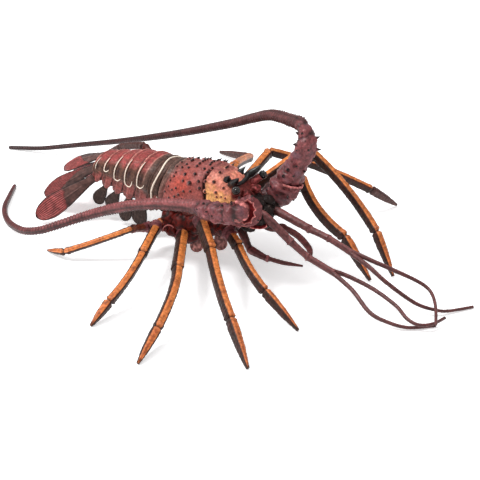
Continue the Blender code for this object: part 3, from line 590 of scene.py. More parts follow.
def outward_sign(grid):
    """Which way the grid's own normals point: 1 for outward and -1 for inward."""
    return 1.0 if np.sum(raw_normals(grid) * (grid - grid.mean(axis=1, keepdims=True))) > 0 else -1.0


def normals(grid):
    return raw_normals(grid) * outward_sign(grid)


def raised(grid, relief):
    """The grid moved out along its normals by the relief."""
    return grid + normals(grid) * relief[..., None]


def tube_grid(route, sides):
    """Rings of points round a route of (x, y, z, radius) points, which twist as little as they can."""
    along = unit(np.gradient(route[:, :3], axis=0))
    side = np.cross(along[0], (0.0, 0.0, 1.0))
    rights = []
    for direction in along:
        side = unit(side - direction * np.dot(side, direction))
        rights.append(side)
    rights = np.array(rights)
    angles = turns(sides)[:, None]
    ring = rights[:, None] * np.cos(angles) + np.cross(rights, along)[:, None] * np.sin(angles)
    return route[:, None, :3] + ring * route[:, None, 3:]


def smooth_tube(points, step, sides):
    return tube_grid(smooth_route(points, step), sides)


def ball_grid(rows, sides, pole_gap):
    """Directions all over a ball, in rings from one pole to the other, and their degrees from that pole."""
    tilt = np.linspace(pole_gap, math.pi - pole_gap, rows)[:, None]
    turn = turns(sides)[None]
    ball = [np.sin(tilt) * np.cos(turn), np.sin(tilt) * np.sin(turn), np.cos(tilt) + 0 * turn]
    return np.stack(ball, axis=-1), np.degrees(tilt)


def lengths(route):
    """Distance along the route at each of its points, as a column."""
    steps = np.linalg.norm(np.diff(route[:, :3], axis=0), axis=1)
    return np.concatenate([[0.0], np.cumsum(steps)])[:, None]


class Skin:
    """Collects closed grids of points with their paint, and makes one painted mesh piece of them."""

    def __init__(self):
        self.points, self.faces, self.paint, self.count = [], [], [], 0

    def add(self, grid, paint):
        """A tube of rings with both ends closed."""
        rows, sides = grid.shape[:2]
        paint = np.clip(np.broadcast_to(paint, grid.shape), 0, 1)
        index = np.arange(rows * sides).reshape(rows, sides) + self.count
        beside = np.roll(index, -1, axis=1)
        faces = np.stack([index[:-1], beside[:-1], beside[1:], index[1:]], axis=-1).reshape(-1, 4).tolist()
        start, end = self.count + rows * sides, self.count + rows * sides + 1
        faces += [(start, b, a) for a, b in zip(index[0].tolist(), beside[0].tolist())]
        faces += [(end, a, b) for a, b in zip(index[-1].tolist(), beside[-1].tolist())]
        if outward_sign(grid) < 0:
            faces = [face[::-1] for face in faces]
        self.faces += faces
        for store, values in ((self.points, grid), (self.paint, paint)):
            store += [values.reshape(-1, 3), values[:1].mean(axis=1), values[-1:].mean(axis=1)]
        self.count += rows * sides + 2

    def add_spike(
            self, root, direction, length, width, colour, tip_colour=SPIKE_TIP, sides=SPIKE_SIDES,
            tip_from=0.12):
        """A pointed spike with a spread foot, dark from some share of its length up."""
        direction = unit(np.array(direction, float))
        side, up = axes_across(direction, (0.0, 0.0, 1.0) if abs(direction[2]) < UPRIGHT else (0.0, 1.0, 0.0))
        angles = turns(sides)[:, None]
        around = (side * np.cos(angles) + up * np.sin(angles)) * width / 2
        rings, colours = [], []
        for share, scale in SPIKE_PROFILE:
            lean = np.array((SPIKE_LEAN * length * max(share, 0) ** 2, 0, 0))
            rings.append(root + direction * length * share + lean + around * scale)
            colours.append(mix(colour, tip_colour, ease(share, tip_from - 0.1, tip_from + 0.2)))
        self.add(np.array(rings), np.array(colours)[:, None])

    def add_lump(self, centre, radii, paint_of, size, seed):
        """A round lump with an uneven surface; paint_of gives its colours from its relief."""
        ball, _ = ball_grid(LUMP_SIDES // 2, LUMP_SIDES, LUMP_POLE_GAP)
        grid = ball * radii + centre
        relief = cloud(grid, size, seed)
        self.add(raised(grid, LUMP_ROUGHNESS * relief), paint_of(relief))

    def add_hoop(self, centre, facing, radius, thickness, colour, start, end, lumps=0.0):
        """Part of a ring that faces some direction; the angles go anticlockwise from its right."""
        side, up = axes_across(unit(np.array(facing, float)))
        angles = np.radians(np.linspace(start, end, HOOP_POINTS))[:, None]
        path = np.array(centre) + radius * (np.sin(angles) * up - np.cos(angles) * side)
        grid = tube_grid(np.concatenate([path, np.full((HOOP_POINTS, 1), thickness)], axis=1), HOOP_SIDES)
        relief = lumps * (knobs(grid, 2.8, radius) + 0.5 * cloud(grid, 1.3, radius) - 0.3)
        self.add(raised(grid, relief), cavity(colour + 0 * grid, relief, 0.6))

    def make(self, name, material, slot, *nodes):
        """The mesh object, which rides on the toy's one body and replaces the nodes named."""
        data = bpy.data.meshes.new(name)
        data.from_pydata(place(np.concatenate(self.points)).tolist(), [], self.faces)
        colours = np.concatenate(self.paint)
        rgba = np.concatenate([colours, np.ones((len(colours), 1))], axis=1)
        paint = data.attributes.new("paint", "FLOAT_COLOR", "POINT")
        paint.data.foreach_set("color", rgba.astype(np.float32).ravel())
        data.materials.append(material)
        data.shade_smooth()
        data.validate()
        piece = bpy.data.objects.new(name, data)
        bpy.context.scene.collection.objects.link(piece)
        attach(piece, "root")
        if nodes:
            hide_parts(*nodes)


def make_piece(name, material, slot, grid, paint, *nodes):
    """A piece that is one closed grid."""
    skin = Skin()
    skin.add(grid, paint)
    skin.make(name, material, slot, *nodes)


def add_node(tree, kind, inputs, **settings):
    """A shader node with its settings; an input is a value or the output that feeds it."""
    node = tree.nodes.new("ShaderNode" + kind)
    for name, value in settings.items():
        setattr(node, name, value)
    for name, value in inputs.items():
        if isinstance(value, bpy.types.NodeSocket):
            tree.links.new(value, node.inputs[name])
        else:
            node.inputs[name].default_value = value
    return node.outputs


def remapped(tree, source, before, after):
    """A shader value moved from one range to another."""
    ends = dict(zip(("From Min", "From Max", "To Min", "To Max"), (*before, *after)))
    return add_node(tree, "MapRange", {"Value": source, **ends})["Result"]


def painted(name, roughness=0.44, gloss=0.25, mottle=0.2, mottle_size=3.2, grain=0.14, wash_and_shade=0.3):
    """Vertex paint with brush mottling, the grain's hollows darker with painted shade over the toy's own
    darker washing, and the grain as bump.
    """
    material = bpy.data.materials.new(name)
    material.use_nodes = True
    tree = material.node_tree
    paint = add_node(tree, "Attribute", {}, attribute_name="paint")["Color"]
    where = add_node(tree, "TexCoord", {})["Object"]
    large, fine = (
        add_node(tree, "TexNoise", {"Vector": where, "Scale": 1 / (size * MM), "Detail": NOISE_DETAIL})["Fac"]
        for size in (mottle_size, GRAIN_SIZE))
    shade = remapped(tree, large, NOISE_RANGE, (1 - mottle, 1 + mottle))
    # Painted shade in the grain's low places, over the toy's own darker washing.
    hollow = remapped(tree, fine, HOLLOW_RANGE, (1 - wash_and_shade, 1 + wash_and_shade / 2))
    both = add_node(tree, "Math", {0: shade, 1: hollow}, operation="MULTIPLY")["Value"]
    tint = add_node(
        tree, "Mix", {"Factor": 1, "A": paint, "B": both}, data_type="RGBA", blend_type="MULTIPLY")
    matt = remapped(tree, fine, NOISE_RANGE, (roughness + 0.12, roughness - 0.1))
    relief = add_node(tree, "Bump", {"Strength": BUMP_STRENGTH, "Distance": grain * MM, "Height": fine})
    shader = tree.nodes["Principled BSDF"].inputs
    shader["Specular IOR Level"].default_value = gloss
    tree.links.new(tint["Result"], shader["Base Color"])
    tree.links.new(matt, shader["Roughness"])
    tree.links.new(relief["Normal"], shader["Normal"])
    return material


def carapace_grid():
    """The carapace's smooth surface, and how many degrees each point lies down from the back's middle."""
    stations = smooth_route([(x, 0, 0, *rest) for x, *rest in CARAPACE], CARAPACE_STEP)
    angles = np.pi / 2 - turns(CARAPACE_SIDES)
    across, rise = np.cos(angles)[None], np.sin(angles)[None]
    x, half_width, top, middle, bottom = (stations[:, k][:, None] for k in (0, 3, 4, 5, 6))
    y = half_width * np.sign(across) * np.abs(across) ** BELLY_SQUARENESS
    z = middle + np.where(rise > 0, top - middle, middle - bottom) * rise
    down = np.degrees(np.arccos(np.clip(rise, -1, 1))) + 0 * y
    return np.stack([x + 0 * y, y, z], axis=-1), down


def make_carapace(material):
    grid, down = carapace_grid()
    x = grid[..., 0].copy()
    from_furrow = x - table(down, NECK_FURROW) + 0.7 * cloud(grid, 2.2, 5.0)
    reach = (0.35 + 0.65 * ease(down, 12, 28)) * fade(down, 95, 125)
    leather = 0.2 * cloud(grid * (0.6, 1, 1), 1.5) + 0.16 * cloud(grid, 0.85, 3.0)
    pimples = 0.22 * np.clip(knobs(grid, 2.1, 7.0) - 0.35, 0, 1) * fade(down, 110, 125)
    face = ease(x, 9.5, 13.5) * ease(down, 20, 60)
    fine = leather + pimples + face * 0.8 * knobs(grid, 1.8, 8.0)
    relief = reach * bumps(from_furrow, FURROW_SHAPE) + fine + bumps(x, MARGIN_RIDGES) * fade(down, 110, 140)
    grid[..., 0] -= REAR_SWEEP * ease(down, 30, 100) * fade(x, -30, -17)
    grid = raised(grid, relief - ease(x, 21.0, 22.9) * 0.6 - 0.2)
    mottling, patches = cloud(grid, 4.0, 11.0), cloud(grid, 1.9, 21.0)
    glow = bump(x, -18.5, 6.5) * bump(down, 56, 24)
    orange = ease(down + 10 * patches, 40, 68) * fade(down, 108, 125) * fade(x, 11, 14)
    fore = coats(
        SHELL_FRONT,
        (SHELL_GLOW, 0.3 + 0.6 * patches),
        (SHELL_DUSTY, fade(down, 12, 34) * fade(x, -1, 6)),
        (SHELL_ORANGE, orange + 0.2 * mottling))
    past_band = x - table(down, BAND_EDGE)
    lip = bump(past_band, -0.9, 0.45) + 0.7 * bump(x, -29.4, 0.4)
    colour = coats(
        mix(SHELL_DUSTY, SHELL_GLOW, glow + 0.3 * mottling),
        (fore, ease(from_furrow + 1.2 * patches * (1 - reach), -0.2, 1.4)),
        (BAND_DARK, 0.55 * fade(past_band + 1.6 * patches, -1.0, 5.0)),
        (BAND_DARK, fade(past_band + 0.6 * patches, -0.7, 0.7)),
        (FURROW, 0.55 * bumps(x, REAR_GROOVES) * fade(down, 92, 100)),
        # Painted highlight on the ridges at the dark band's edge and near the rear.
        (RIDGE_HIGHLIGHT, 0.3 * np.clip(lip, 0, 1) * fade(down, 80, 100)),
        # Painted shade on the carapace's lower side.
        (BELLY_SHADE, ease(down + 6 * mottling, 94, 114)),
        (FURROW, np.clip(1.6 * bump(from_furrow, 0, 0.8), 0, 1) * np.clip(1.3 * reach, 0, 1)),
        (FURROW, 0.75 * bumps(x - 0.14 * (down - 70), CHEEK_LINES) * bump(down, 74, 12)),
        (FACE_RED, ease(x, 8.6, 10.0) * fade(down, 48, 70)),
        # Painted highlight on the tops of the face's knobs.
        (STALK_RED * 1.3, 0.7 * ease(face * knobs(grid, 1.8, 8.0), 0.3, 0.8)),
        (FACE_DARK, ease(x, 14.0, 16.5) + ease(x, 12, 14.5) * ease(down, 60, 80)))
    make_piece("carapace_shell", material, "shell", grid, cavity(colour, fine - 0.06, 0.3, 0.5), "carapace")


def carapace_surface(x, y):
    """A place on the carapace's back and the direction that faces out there."""
    stations = np.array(CARAPACE)
    half_width, top, middle = (np.interp(x, stations[:, 0], stations[:, k]) for k in (1, 2, 3))
    share = min(abs(y) / half_width, 0.995) ** (1 / BELLY_SQUARENESS)
    z = middle + (top - middle) * math.sqrt(1 - share ** 2)
    return np.array((x, y, z)), unit(np.array((0.0, y / half_width ** 2, (z - middle) / (top - middle) ** 2)))


def make_spikes(material):
    skin = Skin()
    for side in (-1, 1):
        for x, y, length, width in CARAPACE_SPIKES:
            root, out = carapace_surface(x, side * y)
            base = SHELL_DUSTY * 1.15 if x < BACK_END else SHELL_FRONT
            skin.add_spike(root, out + (0.5, 0, 0.1), length * 1.1, width, base)
        for x, z in LOW_SPIKES:
            y = side * table(x, [row[:2] for row in CARAPACE]) * 0.985
            skin.add_spike((x, y, z), (0.5, side, 0.3), 1.0, 1.3, SHELL_DUSTY)
        x, y, length, width = CHEEK_SPIKE
        root, out = carapace_surface(x, side * y)
        skin.add_spike(root, out + (0.55, 0, 0.3), length, width, BLACK_PAINT, BLACK_PAINT, sides=16)
    skin.make("carapace_spikes", material, "shell")


def make_brow(material):
    """The black horns and the arched rim between them."""
    skin = Skin()
    for side in (-1, 1):
        grid = smooth_tube([(x, side * y, z, radius) for x, y, z, radius in HORN], FINE_STEP, HORN_SIDES)
        relief = 0.22 * cloud(grid, 1.8, side)
        skin.add(raised(grid, relief), mix(BLACK_PAINT, HORN_SHEEN, 0.6 * ease(relief, 0.02, 0.2)))
    grid = smooth_tube(BROW, FINE_STEP, BROW_SIDES)
    skin.add(raised(grid, 0.2 * cloud(grid, 1.6, 2.0)), BLACK_PAINT)
    skin.make("brow_horns", material, "eyes")


def abdomen_grid():
    """The abdomen's surface, with the share along its ring and the ring's number at each row."""
    rings, shares, numbers = [], [], []
    for i, (front, rear) in enumerate(zip(ABDOMEN, ABDOMEN[1:])):
        for k in range(RING_STEPS):
            share = (k + 0.5) / RING_STEPS
            x, half_width, top, middle, _ = (a + (b - a) * share for a, b in zip(front, rear))
            low = rear[4] + PLATE_GAP_RISE * table(share, LOBE_RISE)
            rings.append(abdomen_ring(x, half_width, top, middle, low, table(share, RING_SHRINK)))
            shares.append(share)
            numbers.append(i)
    return np.array(rings), np.array(shares)[:, None], np.array(numbers)[:, None]


def abdomen_ring(x, half_width, top, middle, plate_edge, shrink):
    """Half an arch, one side plate and half the hollow belly on the left, then the same mirrored."""
    half = []
    for i in range(ARCH_HALF + 1):
        angle = math.pi / 2 * (1 - i / ARCH_HALF)
        y = (half_width - shrink) * math.cos(angle) ** ARCH_SQUARENESS
        half.append((x, y, middle + (top - shrink - middle) * math.sin(angle) ** ARCH_SQUARENESS))
    corners = [
        half[-1], (x, PLATE_OUTSIDE * half_width - shrink, (middle + plate_edge) / 2),
        (x, PLATE_EDGE * half_width, plate_edge),
        (x, PLATE_INSIDE * half_width, plate_edge + INNER_EDGE_RISE),
        (x, BELLY_EDGE * half_width, min(plate_edge + BELLY_RISE, middle - BELLY_THICKNESS))]
    for start, end in zip(corners, corners[1:]):
        for k in range(1, EDGE_POINTS + 1):
            half.append(tuple(a + (b - a) * k / EDGE_POINTS for a, b in zip(start, end)))
    return half + [mirrored(point) for point in reversed(half[1:])]


def make_abdomen(material, line_material):
    """The ringed shell; down is degrees from the back's middle, and goes on evenly past the arch."""
    grid, share, number = abdomen_grid()
    column = np.arange(grid.shape[1])
    column = np.minimum(column, len(column) - column)
    below_arch = 90 + (column - ARCH_HALF) / EDGE_POINTS * EDGE_DEGREES
    down = np.where(column <= ARCH_HALF, column / ARCH_HALF * 90, below_arch) + 0 * grid[..., 0]
    outside = fade(down, 112, 120)
    swept_back = table(grid[..., 0], RING_SWEEP) * ease(down, 30, 100)
    grid[..., 0] -= swept_back + LOBE_SWEEP * ease(down, 92, 112) * outside
    plain = grid
    grain = 0.14 * cloud(grid, 1.0) + 0.16 * cloud(grid * (0.35, 1, 1), 1.4, 4.0)
    lobe = 0.6 * bump(down, 104, 6) * bump(share, 0.6, 0.26)
    lobe = lobe - 0.35 * bump(down, 93, 3) * bump(share, 0.5, 0.3)
    grid = raised(grid, (grain + bumps(share, RING_RIDGES)) * outside + lobe - 0.2)
    mottling, streaks = cloud(grid, 3.2, 7.0), cloud(grid * (0.3, 1, 1), 1.5, 9.0)
    banded = (number == 0) + (number == 1) * fade(share + 0.1 * mottling, 0.3, 0.5)
    rear_ridge = ease(share, 0.88, 0.93) * (1 - 0.85 * ease(share, 0.96, 0.99))
    back_ridge = (rear_ridge + 0.7 * bump(share, 0.42, 0.03) * (number == 1)) * fade(down, 58, 84)
    lobe_rim = bumps(share, ((0.93, 0.06, 1), (0.1, 0.05, 1))) + bump(down, 110, 3)
    colour = coats(
        BACK_RED,
        (SIDE_GREY, ease(down + 9 * mottling, 40, 66)),
        (SIDE_STAIN, 0.95 * bump(down, 72, 15) * bump(share, 0.6, 0.2) * (number > 0)),
        (LOBE_RED, ease(down + 5 * mottling, 88, 98)),
        (BAND_DARK, 0.97 * banded * fade(down, 90, 98)),
        # Painted shade where each ring's front tucks under the ring ahead, and in the groove near its rear.
        (FURROW, 0.75 * np.clip(fade(share, 0.04, 0.3) + 0.75 * bump(share, 0.78, 0.06), 0, 1)),
        # Painted highlight on the raised ridges of each ring.
        (RIDGE_HIGHLIGHT, back_ridge * (0.9 + 0.5 * mottling) * (number > 0)),
        (SIDE_GREY * 0.8, np.clip(0.1 + 0.8 * streaks, 0, 0.4) * fade(down, 60, 80) * (number > 0)),
        (FURROW, 0.6 * np.clip(lobe_rim, 0, 1) * ease(down, 92, 97)),
        # Painted shade on the belly under the abdomen.
        (BELLY_SHADE, ease(down, 112, 118)))
    paint = cavity(colour, grain + 0.1 * streaks, 0.26, 0.4)
    make_piece("abdomen_shell", material, "shell", grid, paint, "abdomen")
    make_cream_lines(plain, line_material)


def abdomen_point(grid, row, degrees, side):
    """The point of the abdomen's grid at a broken row number, some degrees down on one side."""
    columns = grid.shape[1]
    column = degrees / 90 * ARCH_HALF
    if degrees > 90:
        column = ARCH_HALF + (degrees - 90) / EDGE_DEGREES * EDGE_POINTS
    if side < 0:
        column = columns - column
    i, j = int(row), int(column) % columns
    u, v = row - int(row), column - int(column)
    below, beside = min(i + 1, len(grid) - 1), (j + 1) % columns
    near = grid[i, j] * (1 - v) + grid[i, beside] * v
    far = grid[below, j] * (1 - v) + grid[below, beside] * v
    return near * (1 - u) + far * u


def make_cream_lines(grid, material):
    """The pale painted lines near the rear edge of each ring, which hook forward at their lower ends."""
    skin = Skin()
    for i, (top, low, radius, hook, turn, place_along, bow) in enumerate(CREAM_LINES):
        path = []
        for t in np.linspace(0, 1, LINE_POINTS):
            row = (i + place_along + bow * math.sin(math.pi * t)) * RING_STEPS - 0.5
            path.append((row, top + (low - top) * t))
        last_row = path[-1][0]
        for t in np.linspace(0, 1, HOOK_POINTS)[1:] if hook else ():
            row = last_row - hook * RING_STEPS * math.sin(t * math.pi / 2)
            path.append((row, low + 1.5 * math.sin(math.pi * min(t * 1.6, 1)) - turn * t ** 3))
        number = np.arange(len(path))
        growth = np.minimum(1, number / 10 if top else 1)
        taper = 1 - 0.45 * np.maximum(0, (number - len(path) + 8) / 8)
        size = radius * (0.35 + 0.65 * growth) * taper
        for side in (-1, 1):
            points = np.array([abdomen_point(grid, row, degrees, side) for row, degrees in path])
            skin.add(tube_grid(np.concatenate([points, size[:, None]], axis=1), LINE_SIDES), CREAM)
    skin.make("cream_lines", material, "shell")


def plate_grid(base, tip, facing, width, thickness):
    """A flat plate's surface with its share along it and its place across it, from -1 to 1."""
    base, tip = np.array(base, float), np.array(tip, float)
    across, facing = axes_across(unit(tip - base), facing)
    even = np.linspace(0, 1, PLATE_STEPS)
    share = 0.5 * even + 0.25 * (1 - np.cos(np.pi * even))
    scale = np.convolve(np.pad(table(share, PLATE_PROFILE), 3, mode="edge"), np.ones(7) / 7, mode="valid")
    scale[-len(PLATE_END):] = np.minimum(scale[-len(PLATE_END):], PLATE_END)
    angles = turns(PLATE_SIDES)
    side = np.cos(angles)[None]
    flat = np.sign(np.sin(angles)) * np.abs(np.sin(angles)) ** PLATE_SQUARENESS
    share = share[:, None]
    half_width = width / 2 * scale[:, None] * side
    half_depth = thickness / 2 * (1 - PLATE_THINNING * share) * flat
    middle = (base + (tip - base) * share)[:, None]
    grid = middle + across * half_width[..., None] + facing * half_depth[..., None]
    return grid, share + 0 * side, side + 0 * share


def make_tail_plate(name, node, spec, lower, tilt, shade, material):
    """One plate of the tail fan: dark and smooth near the abdomen, then red with fine ribs.

    Lower is 1 or -1 for the side of the plate that lies lower, and tilt is how much further the dark
    part reaches there, as a share of the plate's length.
    """
    grid, share, side = plate_grid(*spec)
    half_width = spec[3] / 2
    side_low, from_middle = side * lower, np.abs(side)
    past_split = share - (0.5 + tilt * side_low + 0.03 * cloud(grid, 2.0))
    rib_zone = ease(past_split, 0.0, 0.05) * fade(from_middle, 0.84, 0.94)
    rib_phase = side * half_width / TAIL_RIB * (1 + 0.25 * (1 - share)) + 0.12 * cloud(grid, 3.0, 5.0)
    ribs = np.cos(2 * np.pi * rib_phase)
    midrib = bump(side_low - tilt * 0.6, 0, 0.06) * ease(share, 0.16, 0.3) * fade(past_split, 0, 0.1)
    notch = bump(past_split, 0.0, 0.012)
    grain = 0.12 * cloud(grid * (0.5, 1, 1), 1.2)
    rim_groove = ease(from_middle, 0.8, 0.88) * fade(from_middle, 0.92, 0.97)
    relief = 0.12 * ribs * rib_zone + 0.4 * midrib - 0.25 * notch + grain - 0.2 * rim_groove - 0.05
    grid = raised(grid, relief)
    mottling = cloud(grid, 2.6, 2.0)
    colour = coats(
        TAIL_DARK * (1 - 0.35 * ease(side_low, -0.4, 0.7) + 0.25 * mottling)[..., None],
        (TAIL_RED, ease(past_split, -0.015, 0.03)),
        # Painted shade in the troughs between the ribs and a painted highlight on their crests.
        (TAIL_EDGE, 0.8 * np.clip(0.45 - 0.75 * ribs, 0, 1) * rib_zone),
        (RIM_PINK, 0.3 * (ribs - 0.3) * rib_zone),
        # Painted highlight on the raised midrib.
        (RIDGE_HIGHLIGHT, 0.15 * ease(midrib, 0.45, 0.9)),
        (TAIL_EDGE, 0.95 * np.clip(ease(from_middle, 0.86, 0.94) + ease(share, 0.96, 0.99), 0, 1)),
        (TAIL_EDGE, 0.7 * notch))
    # Painted shade: the whole plate's colour scaled by its shade factor.
    make_piece(name, material, "shell", grid, cavity(colour * shade, grain + 0.08 * mottling, 0.22), node)


def make_tail(material):
    make_tail_plate("telson_plate", "telson", TELSON, 1, TELSON_TILT, 1.0, material)
    for place_name, (base, tip, facing, width, thickness) in TAIL_PLATES.items():
        for side_name, turn, lower in (("right", tuple, -1), ("left", mirrored, 1)):
            spec = (turn(base), turn(tip), turn(facing), width, thickness)
            make_tail_plate(
                f"tail_plate_{place_name}_{side_name}", f"tail_{place_name}_{side_name}", spec, lower,
                *TAIL_TILT_AND_SHADE[place_name], material)


def make_paddles(material):
    """The small dark paddles under the abdomen, with a thick rim and faint ribs."""
    for i, (base, tip, width) in enumerate(SWIMMERETS, start=1):
        for side_name, turn in (("right", tuple), ("left", mirrored)):
            grid, share, side = plate_grid(
                turn(base), turn(tip), turn(SWIMMERET_FACING), width, SWIMMERET_THICKNESS)
            rim = np.clip(ease(np.abs(side), 0.72, 0.86) + ease(share, 0.86, 0.95), 0, 1)
            grid = raised(grid, 0.12 * rim + 0.05 * np.cos(side * 14) + 0.06 * cloud(grid, 1.2) - 0.1)
            shade = 1 + 0.22 * cloud(grid, 2.0, 3.0) + 0.4 * (0.4 - share)
            paint = mix(PADDLE, TAIL_EDGE, 0.6 * rim) * shade[..., None]
            make_piece(f"paddle_{side_name}_{i}", material, "dark", grid, paint, f"swimmeret_{side_name}_{i}")


def make_flaps(material):
    """The rounded lobes that hang between the near legs."""
    for name, (base, tip, width) in BELLY_FLAPS.items():
        grid, share, side = plate_grid(base, tip, FLAP_FACING, width, FLAP_THICKNESS)
        from_middle = np.abs(side)
        grid = raised(grid, 0.18 * cloud(grid, 1.2) + 0.2 * ease(from_middle, 0.7, 0.9) - 0.15)
        colour = coats(
            FLAP_PINK, (PADDLE, 0.6 * fade(share, 0.3, 0.7)), (FURROW, 0.6 * bump(from_middle, 0.68, 0.08)))
        make_piece(f"{name}_lobe", material, "dark", grid, cavity(colour, cloud(grid, 1.3, 2.0), 0.6), name)


def leg_route(root, hip, knee, shin, ankle, tip, thickness):
    """A leg's centre line as (x, y, z, radius), with each point's segment and share along it."""
    corners = [np.array(point, float) for point in (root, hip, knee, ankle, tip)]
    bow = np.array(shin, float) - (corners[2] + corners[3]) / 2
    rows, marks = [], []
    for i, (start, end) in enumerate(zip(corners, corners[1:])):
        is_tip = i == TIP_SEGMENT
        profile = TIP_PROFILE if is_tip else SEGMENT_PROFILE
        count = max(6, round(math.dist(start, end) / LEG_STEP))
        for k in range(count + is_tip):
            share = k / count
            centre = start + (end - start) * share
            if i == SHIN_SEGMENT:
                centre = centre + bow * 4 * share * (1 - share)
            if is_tip:
                centre[2] += TIP_RADIUS * share
            rows.append((*centre, thickness / 2 * table(share, profile) * SEGMENT_THICKNESS[i]))
            marks.append((i, share))
    route = np.array(rows)
    smoothed(route[:, :3], 4)
    segment_lengths = np.array([math.dist(start, end) for start, end in zip(corners, corners[1:])])
    return route, np.array(marks), segment_lengths


def leg_grid(route, degrees):
    """Boxy rings round a leg, turned so that their flat top faces up and some degrees to the front."""
    centres = route[:, :3]
    along = unit(smoothed(np.gradient(centres, axis=0), 6))
    level, upright = axes_across(along)
    turn = math.copysign(math.radians(degrees), centres[-1, 1] - centres[0, 1])
    side = level * math.cos(turn) - upright * math.sin(turn)
    up = upright * math.cos(turn) + level * math.sin(turn)
    angles = turns(LEG_SIDES)
    across, rise = (
        (np.sign(wave) * np.abs(wave) ** LEG_BOXINESS)[:, None] for wave in (np.cos(angles), np.sin(angles)))
    ring = side[:, None] * across * LEG_FLATNESS + up[:, None] * rise
    from_top = np.degrees(np.abs((angles - np.pi / 2 + np.pi) % (2 * np.pi) - np.pi))
    return centres[:, None] + ring * route[:, None, 3:] * 0.97, from_top[None] + 0 * ring[..., 0]


def joint_relief(segment, share, length):
    """Raised collars beside each joint and a crease at it."""
    from_start, to_end = share * length, (1 - share) * length
    after_joint = 0.28 * bump(from_start, 1.2, 0.55) - 0.7 * bump(from_start, 0, 0.42)
    before_joint = 0.32 * bump(to_end, 1.4, 0.6) - 0.7 * bump(to_end, 0, 0.42)
    return after_joint * (segment > 0) + before_joint * (segment < TIP_SEGMENT)


def make_leg(name, leg, material, number):
    route, marks, segment_lengths = leg_route(*leg)
    grid, from_top = leg_grid(route, LEG_TURNS.get(name, LEG_TURN))
    segment, share = marks[:, :1], marks[:, 1:]
    joints = joint_relief(segment, share, segment_lengths[segment.astype(int)])
    edge = FAR_STRIPE_HALF_ANGLES.get(name, STRIPE_HALF_ANGLE) + 4 * cloud(grid, 1.6, number + 1.0)
    groove = bump(from_top, edge + 7, 5)
    keel = 0.14 * bump(from_top, 0, 14) - 0.22 * groove
    rib_zone = ease(from_top, 66, 80) * fade(from_top, 110, 130)
    ribs = 0.08 * np.cos(2 * np.pi * lengths(route) / LEG_RIB) * rib_zone
    grain = 0.13 * cloud(grid, 1.3, number) + 0.1 * cloud(grid, 0.7, number + 3)
    from_hip = share * segment_lengths[1]
    collars = bumps(from_hip, HIP_COLLARS) * (segment == 1)
    grid = raised(grid, joints + keel + ribs + grain + collars - 0.05)
    grid[..., 2] = np.maximum(grid[..., 2], 0.0)
    mottling = cloud(grid, 2.6, number + 7.0)
    streaks = cloud(grid * (0.5, 0.5, 1.5), 1.3, number + 9.0)
    rust = np.clip((segment - 1.2 + share) / 2.6, 0, 1) + 0.45 * mottling
    stripe_colour = coats(LEG_ORANGE, (LEG_RUST, rust), (LEG_MAROON, np.minimum(-1.6 * streaks - 0.35, 0.7)))
    worn_tip = 0.85 * (segment == TIP_SEGMENT) * ease(share + 0.15 * mottling, 0.86, 1.0)
    stripe = fade(from_top, edge - 4, edge + 4) * (1 - worn_tip)
    flank = mix(LEG_FLANK, LEG_MAROON, 0.3 * mottling + 0.1)
    if name in DARK_LEGS:
        dark = segment >= DARK_LEGS[name]
        flank = coats(flank, (DARK_CLAW, 0.6 * dark), (LEG_MAROON, 0.35 * fade(from_top, 50, 90)))
        stripe = stripe * (1 - dark)
    colour = coats(
        flank,
        (stripe_colour, stripe),
        # A painted highlight: a paler band along the stripe near the leg's top.
        (LEG_ORANGE * 1.25, 0.5 * bump(from_top, 0.45 * edge, 9) * stripe),
        (FURROW, 0.85 * groove),
        (LEG_MAROON, 0.9 * (segment <= 1) * (number == LAST_LEG)),
        (COLLAR_PURPLE, (segment == 1) * fade(from_hip, 4.8, 5.8)),
        (FURROW, np.minimum(-2.5 * collars, 0.8)),
        (LEG_MAROON, (segment == 0) * fade(share, 0.75, 1.0)),
        (FURROW, np.minimum(-1.3 * joints, 0.85)),
        # Painted highlight on the raised collars beside the joints.
        (RIDGE_HIGHLIGHT, 0.25 * ease(joints, 0.18, 0.34) * stripe))
    paint = cavity(colour, grain + 0.05 * streaks, 0.2, 0.35)
    make_piece(f"{name}_painted", material, "legs", grid, paint, name)


def make_coxae(material):
    """The dark lumps between the carapace's lower edge and the legs, some with a pale rim."""
    def paint_of(relief):
        # Painted shade in the lumps' hollows and a painted highlight on their tops.
        dark = mix(COXA, FURROW, ease(-relief, -0.2, 0.4))
        return mix(dark, LEG_MAROON * 1.3, 0.6 * ease(relief, 0.35, 0.8))

    skin = Skin()
    for side in (-1, 1):
        for i, (x, y, z, *radii) in enumerate(COXAE):
            skin.add_lump((x, side * y, z), radii, paint_of, 1.7, i * 3.1)
        for x, y, z, radius, start, end in COXA_RIMS:
            angles = (start, end) if side < 0 else (180 - end, 180 - start)
            skin.add_hoop((x, side * y, z), (0.52, side * 0.71, 0.47), radius, 0.3, RIM_PINK * 0.7, *angles)
    skin.make("leg_roots", material, "legs")


def whip_relief(distance, slim):
    """Relief of a long feeler past its thick end, and the narrow rings, side furrows and teeth in it."""
    angles = np.degrees(turns(ANTENNA_SIDES))[None]
    from_side = np.minimum(np.abs((angles + 180) % 360 - 180), np.abs(angles - 180))
    phase = (distance / ANNULUS) % 1
    rings = phase ** 2 - 0.4
    furrow = bump(from_side, 0, 16)
    teeth = bump(phase, 0.85, 0.14) * (bump(from_side, 62, 9) + bump(from_side, 90, 8))
    return slim * (0.16 * rings - 0.36 * furrow + 0.5 * teeth), rings, furrow, teeth


def knobby_paint(lumps):
    """Purple-pink on the lumps, with painted shade nearly black in the creases and a pale pink painted
    highlight on the highest places.
    """
    crease = 0.9 * ease(-lumps, -0.25, 0.3)
    return coats(ARM_PURPLE, (FEELER_DARK * 0.25, crease), (RIM_PINK * 1.1, 0.6 * ease(lumps, 0.7, 1.3)))


